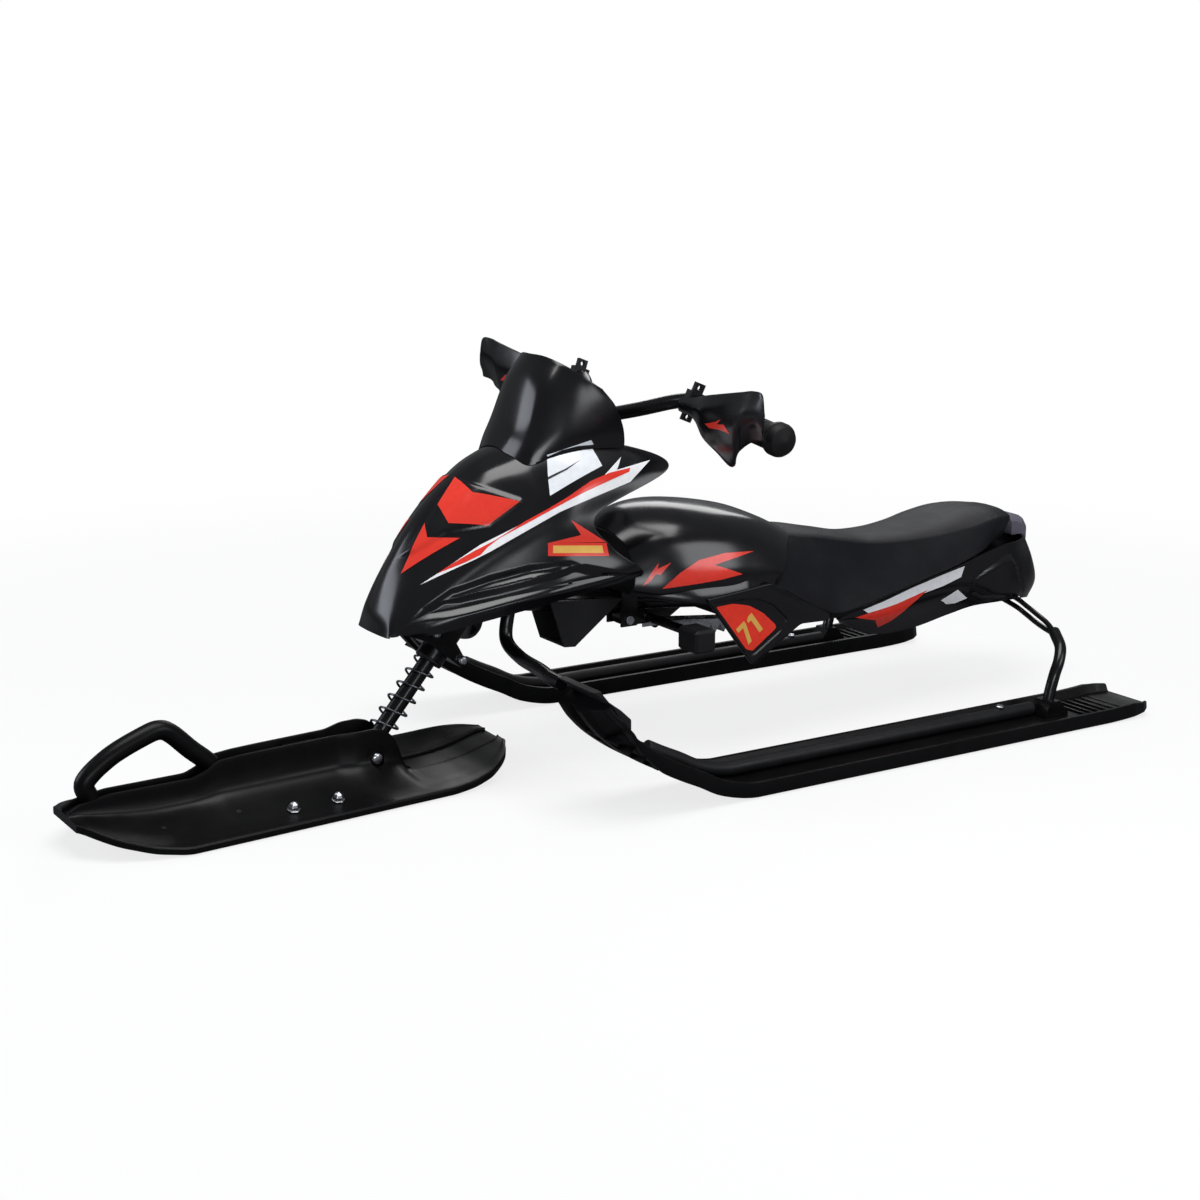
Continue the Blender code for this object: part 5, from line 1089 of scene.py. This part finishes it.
def tail():
    whole = [line + mirrored(reversed(line[:-1])) for line in tail_control]
    lines = shaped(fine_lines(whole, 14, 12), [(tail_pod, 0.0024, 0.007, 0.05, 0.2)])
    surface = settle(cover("tail_surface", lines), sharp=cover_angle)
    notches = [arm for side in (1, -1) for arm in hoop_arms(side, "tail_notch", arm_radius + 0.0015, 4)]
    for notch in notches:
        cut(surface, notch)
    settle(surface, *notches, sharp=cover_angle)
    belongs(surface, "frame", "gloss_black", "tail_cover")
    # The end cap: its outline shrinks towards its sides, by y, in its reach, crown and lip
    bed = 0.177 + seat_gap
    front = -0.556
    outline = rounded([(-0.5565, 0.2005), (-0.574, 0.1995), (-0.591, 0.1945), (-0.6, 0.183),
                       (-0.6, 0.156), (-0.5955, 0.156), (-0.5925, bed), (front, bed)], 0.003, 3)
    steps = (0.0, 0.011, 0.022, 0.03, 0.034)
    reaches, crowns, lips = [list(zip(steps, shares)) for shares in (
        (1.0, 0.95, 0.8, 0.6, 0.42), (1.0, 1.0, 0.97, 0.88, 0.72), (1.0, 1.0, 0.5, 0.15, 0.05))]
    rings = []
    for k in range(25):
        y = -0.034 + 0.068 * k / 24
        ring = []
        for p in outline:
            rise = (p.y - bed) * along(crowns if p.y > bed else lips, abs(y))
            ring.append(Vector((front + (p.x - front) * along(reaches, abs(y)), y, bed + rise)))
        rings.append(ring)
    cap = softened(loft("tail_end_cap", rings), 0.0012, 3)
    belongs(cap, "frame", "smoke_grey", "tail_cap")


def seat_section(station):
    """Half of the cushion's section, from the middle of its top round to the middle of its underside."""
    x_top, x_low, z_top, z_low, half_top, half_low, under = station
    ring = [(half_top * share, height, z_low + (z_top - z_low) * height + lift - seat_crown * 0.5)
            for share, height, lift in ((0.0, 1.0, seat_crown), (0.5, 1.0, seat_crown * 0.8),
                                        (0.84, 1.0, seat_crown * 0.15), (1.0, 0.9, 0.0))]
    middle = 0.42
    rise = (under - z_low) / (z_top - z_low)
    ring += [(half_low + (half_top - half_low) * middle + 0.0015, middle, z_low + (z_top - z_low) * middle),
             (half_low, 0.08, z_low + (z_top - z_low) * 0.08), (half_low - 0.005, 0.0, z_low),
             (half_low - 0.011, 0.0, z_low + 0.0005), (half_low - 0.0125, rise, under), (0.0, rise, under)]
    return [Vector((x_low + (x_top - x_low) * share, y, z)) for y, share, z in ring]


def seat():
    rings = []
    for station in seat_control:
        points = seat_section(station)
        half = smooth_path(points[:6], 6)[:-1]
        for p, q in zip(points[5:], points[6:]):
            half += [p + (q - p) * k / 3.0 for k in range(3)]
        half.append(points[-1])
        rings.append(half + mirrored(reversed(half[1:-1])))
    cushion = loft("padded_seat", smooth_rings(rings, 9), 50.0)
    for vertex in cushion.data.vertices:
        if vertex.co.z > 0.178:
            vertex.co.z += 0.0003 * noise.noise(vertex.co * 18.0)
    softened(cushion, 0.0012, sharp=50.0)
    belongs(cushion, "frame", "seat_vinyl", "seat_cushion")


# Films on both sides: name, cover, finish, lift off the cover, the way it faces, its cells' size, outline
hood_way = (0.6, 0.5, 0.6)
side_way = (0.3, 1.0, 0.3)
tank_way = (0.0, 1.0, 0.2)
tail_way = (0.0, 1.0, -0.2)
under_way = (0.0, 1.0, -0.4)
films = [
    ("hood_chevron", "cowl_surface", red_film, 0.0004, hood_way, 0.002, [
        (179.5, 6.3, 309.4), (175.2, 36.1, 297.1), (137.5, 64.5, 288.8), (171, 58.8, 266.9),
        (202.3, 35.4, 268.3), (203.9, 15.4, 284.5)]),
    ("nose_arrow", "cowl_surface", red_film, 0.0004, hood_way, 0.002, [
        (219.1, 15.9, 267.8), (221.6, 26.9, 254.7), (197, 48.3, 255.8), (249.6, 21.4, 220.3)]),
    ("side_stripe", "cowl_surface", white_film, 0.0003, side_way, 0.003, [
        (239.4, 42.5, 211.9), (221, 50.3, 224.4), (182.1, 62.1, 249.5), (122.8, 78.6, 276.4),
        (56, 84.3, 306.5), (24.5, 74, 325.9), (34.5, 82.2, 314.5), (-6.8, 80.1, 320.9), (22.9, 88.7, 302.1),
        (103.2, 84.7, 278.5), (175, 69.6, 243), (190.5, 64.8, 235.7)]),
    ("red_band", "cowl_surface", red_film, 0.0005, side_way, 0.002, [
        (223.5, 49.3, 222.9), (206.7, 55.3, 233.7), (188.1, 61.6, 244), (169.2, 67.5, 253.1),
        (137.7, 74.6, 270.7), (114.1, 79.6, 281.8), (92.6, 82.6, 292.4), (66.1, 82.1, 305.6),
        (43.8, 81.8, 312), (18.7, 81.9, 315), (21.2, 84, 311.5), (74.6, 85.6, 296.2), (128.2, 78, 272.8),
        (163.4, 69.2, 255.8), (175.9, 66.9, 247.5), (184.1, 67, 240.6), (200, 61.4, 233.3)]),
    ("head_lens", "cowl_surface", lens_film, 0.0005, side_way, 0.002, [
        (101.4, 56.5, 327.4), (86.2, 60.4, 331.2), (69.8, 62.5, 333.7), (52.3, 63, 334.9),
        (49.4, 77.5, 319.2), (109, 75, 293.8), (106, 66.1, 310.4)]),
    ("head_slit", "cowl_surface", dark_film, 0.0007, side_way, 0.002, [
        (105.8, 65.8, 311.1), (86.9, 69.4, 318.7), (69.2, 69.2, 326.3), (86.4, 70.4, 317.4),
        (106.6, 67, 308.6)]),
    ("upper_lens", "screen_surface", lens_film, 0.0004, side_way, 0.002, [
        (102.1, 56.9, 332.1), (78.7, 61.7, 338.4), (54.6, 64.8, 344.5), (51.6, 64.7, 339.6),
        (70, 62.9, 339.4), (86.2, 60.4, 336.3), (101.2, 57.1, 330.5)]),
    ("side_arrow", "cowl_surface", red_film, 0.0003, side_way, 0.003, [
        (93.1, 89.1, 270.1), (57.3, 97.8, 245.3), (119, 87.5, 249.1), (84.2, 93.5, 254.6)]),
    ("side_bar", "cowl_surface", red_film, 0.0003, side_way, 0.003, [
        (119, 87.5, 249.1), (57, 98, 244.5), (55.3, 100.4, 231.1), (120.3, 89.6, 236.4)]),
    ("bar_core", "cowl_surface", yellow_film, 0.0005, side_way, 0.002, [
        (114, 88.3, 246), (62, 97, 242), (61, 99, 234.5), (115, 90, 238.8)]),
    ("tank_arrow", "tank_surface", red_film, 0.0003, tank_way, 0.003, [
        (-24.4, 77.5, 183), (-43.9, 81.9, 198.6), (-66.6, 83.7, 210.3), (-99, 85, 214.5),
        (-137.4, 84.3, 212.3), (-110.3, 87.5, 208.3), (-83.6, 87.9, 203.8), (-99.1, 90.8, 198.2),
        (-117.4, 92.6, 191), (-88.3, 91.7, 187.8), (-53.7, 86.3, 185.4)]),
    ("tank_flash", "tank_surface", red_film, 0.0003, tank_way, 0.002, [
        (-6.3, 68.4, 186.8), (-15.8, 70.7, 200.4), (-23.8, 71.9, 210.1), (-22.1, 72.8, 203.8),
        (-36.1, 76.6, 209.6), (-23.8, 75.2, 197.5), (-19.7, 73.1, 198.5), (-13.1, 71.4, 190.4)]),
    ("tail_sweep", "tail_surface", white_film, 0.0003, tail_way, 0.003, [
        (-290, 84.2, 128.5), (-320, 84.2, 134.8), (-357.9, 82.9, 144.2), (-403.6, 81.1, 153.5),
        (-441.9, 79.6, 160.4), (-437.1, 79.4, 147.9), (-409.5, 80.3, 140.8), (-384.8, 81.3, 136.9),
        (-339, 83.5, 128.4), (-296.8, 84.2, 124)]),
    ("tail_flash", "tail_surface", red_film, 0.0005, under_way, 0.003, [
        (-278.6, 83.8, 121.1), (-306.7, 84.2, 125.1), (-339.1, 83.5, 129.5), (-385.1, 81.3, 139.4),
        (-357.3, 81.3, 122.8), (-335.6, 76.5, 108.2), (-320.4, 73.1, 102.5), (-309.2, 81.4, 114)]),
    ("tail_patch", "tail_surface", white_film, 0.0003, under_way, 0.003, [
        (-434.4, 77.7, 133.1), (-453, 73.7, 120), (-436.6, 71.6, 115.6), (-422.3, 72.2, 116.3),
        (-411.1, 76, 123.2)]),
]


def decals():
    for name, cover_name, skin, lift, outward, size, outline in films:
        both_sides(name, metres(outline), film_beds[cover_name], skin, lift, outward, size)


# Number panels: a moulded border round a sunk red plate with a plain block number
def flat_film(name, outline, side, face, skin):
    belongs(prism(name, outline, (side * face, side * (face + 0.00025))), "frame", "gloss_black", skin=skin)


def number_panels():
    outline = [(-0.0675, 0.17), (-0.129, 0.09), (-0.192, 0.128), (-0.231, 0.127), (-0.231, 0.135),
               (-0.1925, 0.154), (-0.1525, 0.178)]
    pocket = [(-0.0745, 0.165), (-0.102, 0.1662), (-0.1321, 0.1635), (-0.1535, 0.1545), (-0.174, 0.136),
              (-0.1655, 0.124), (-0.1285, 0.101), (-0.119, 0.105)]
    plate = [(-0.08, 0.1605), (-0.1016, 0.1615), (-0.1224, 0.157), (-0.1414, 0.1465), (-0.1582, 0.1315),
             (-0.159, 0.1275), (-0.1283, 0.1065), (-0.12, 0.109)]
    glyphs = metres([
        [(-14, 12.5), (-1, 12.5), (-1, 8.2), (-7, -12.5), (-12.3, -12.5), (-6.2, 7.4), (-14, 7.4)],
        [(6, 12.5), (11.6, 12.5), (11.6, -12.5), (6.2, -12.5), (6.2, 6.6), (2, 6.6), (2, 9.6)]])
    tilt = math.radians(38.0)
    back = 0.0935
    face = 0.0985
    floor = 0.097
    centre_x = -0.1245
    centre_z = 0.1315
    for side, label in both:
        panel = prism(label + "_plate_carrier", rounded(outline, 0.004, 4), (side * back, side * face))
        sunk = prism("plate_pocket", rounded(pocket, 0.004, 4), (side * floor, side * (face + 0.0115)))
        cut(panel, sunk)
        settle(panel, sunk)
        softened(panel, 0.0008, 3)
        belongs(panel, "frame", "gloss_black", label + "_number_panel")
        flat_film(label + "_plate", rounded(plate, 0.002, 3), side, floor + 0.0001, plate_red)
        for k, glyph in enumerate(glyphs):
            shape = [(centre_x - a * side * math.cos(tilt) + b * math.sin(tilt),
                      centre_z + a * side * math.sin(tilt) + b * math.cos(tilt)) for a, b in glyph]
            flat_film(label + "_digit_" + str(k + 1), shape, side, floor + 0.0004, yellow_film)


# The pieces that keep the part's own mesh: rounded edges and the same finishes
def dress():
    slots = {entry["node"]: entry["material_slot"] for entry in frame["record"]["subparts"]}
    for name, node in frame["nodes"].items():
        for slot in node.material_slots:
            slot.material = skins[slots[name]]
        if node.hide_render:
            continue
        node.modifiers.new("weld", "WELD").merge_threshold = 0.00002
        soften(node, 0.0005, 2)
        node.modifiers.new("normals", "WEIGHTED_NORMAL").keep_sharp = True


def stage_and_lights():
    """A floor and a world that the camera sees as white, and five lamps."""
    skin = bpy.data.materials.new("studio_floor")
    skin.use_nodes = True
    tree = skin.node_tree
    shader = tree.nodes["Principled BSDF"]
    feed(tree, shader, {"Base Color": (0.86, 0.86, 0.87, 1.0), "Roughness": 0.9})
    white = {"Color": (1.0, 1.0, 1.0, 1.0), "Strength": 1.0}
    glow = add_node(tree, "ShaderNodeEmission", "Emission", white)
    grey = add_node(tree, "ShaderNodeBsdfDiffuse", "BSDF", {"Color": (0.16, 0.16, 0.17, 1.0)})
    spot = add_node(tree, "ShaderNodeTexCoord", "Object", {})
    length = add_node(tree, "ShaderNodeVectorMath", "Value", {0: spot}, operation="LENGTH")
    fade = add_node(tree, "ShaderNodeMapRange", "Result",
                    {"Value": length, "From Min": 0.7, "From Max": 1.8, "To Min": 0.78},
                    interpolation_type="SMOOTHSTEP")
    far = add_node(tree, "ShaderNodeMixShader", "Shader", {"Fac": fade, 1: shader.outputs["BSDF"], 2: glow})
    ray = add_node(tree, "ShaderNodeLightPath", "Is Camera Ray", {})
    seen = add_node(tree, "ShaderNodeMixShader", "Shader", {"Fac": ray, 1: grey, 2: far})
    feed(tree, tree.nodes["Material Output"], {"Surface": seen})
    mesh = bpy.data.meshes.new("studio_floor")
    reach = 20.0
    low = min(0.0, cad_box[0][2]) - 0.0008
    mesh.from_pydata([(-reach, -reach, low), (reach, -reach, low), (reach, reach, low), (-reach, reach, low)],
                     [], [(0, 1, 2, 3)])
    mesh.materials.append(skin)
    linked("studio_floor", mesh)

    world = bpy.data.worlds.new("studio")
    bpy.context.scene.world = world
    world.use_nodes = True
    tree = world.node_tree
    base = tree.nodes["Background"]
    feed(tree, base, {"Color": (0.92, 0.95, 1.0, 1.0), "Strength": 0.16})
    seen = add_node(tree, "ShaderNodeBackground", "Background", white)
    ray = add_node(tree, "ShaderNodeLightPath", "Is Camera Ray", {})
    lit = base.outputs["Background"]
    mix = add_node(tree, "ShaderNodeMixShader", "Shader", {"Fac": ray, 1: lit, 2: seen})
    feed(tree, tree.nodes["World Output"], {"Surface": mix})

    for name, spot, aim, size, power, colour in (
            ("key", (0.2, 0.4, 2.4), (0.0, 0.0, 0.1), (1.8, 1.4), 48.0, (1.0, 1.0, 1.0)),
            ("side_fill", (2.2, -1.3, 1.0), (0.1, 0.0, 0.28), (1.3, 1.2), 20.0, (0.86, 0.9, 1.0)),
            ("back_rim", (-1.6, -2.0, 1.6), (-0.1, 0.0, 0.2), (1.6, 0.8), 14.0, (1.0, 1.0, 1.0)),
            ("low_front", (1.0, 2.6, 0.5), (0.0, 0.0, 0.15), (1.4, 0.5), 13.0, (0.94, 0.96, 1.0)),
            ("side_soft", (-1.0, 2.1, 1.2), (-0.2, 0.0, 0.15), (1.5, 0.9), 17.0, (0.96, 0.97, 1.0))):
        data = bpy.data.lights.new(name, "AREA")
        data.shape = "RECTANGLE"
        data.size, data.size_y = size
        data.energy = power
        data.color = colour
        piece = linked(name, data)
        piece.rotation_mode = "QUATERNION"
        piece.rotation_quaternion = (Vector(spot) - Vector(aim)).normalized().to_track_quat("Z", "Y")
        piece.location = spot


front_ski()
fork()
head()
handlebar()
handguards()
rear_skis()
frame_tubes()
cowl()
tank()
tail()
seat()
decals()
number_panels()
dress()
stage_and_lights()
bpy.context.scene.view_settings.view_transform = "Standard"
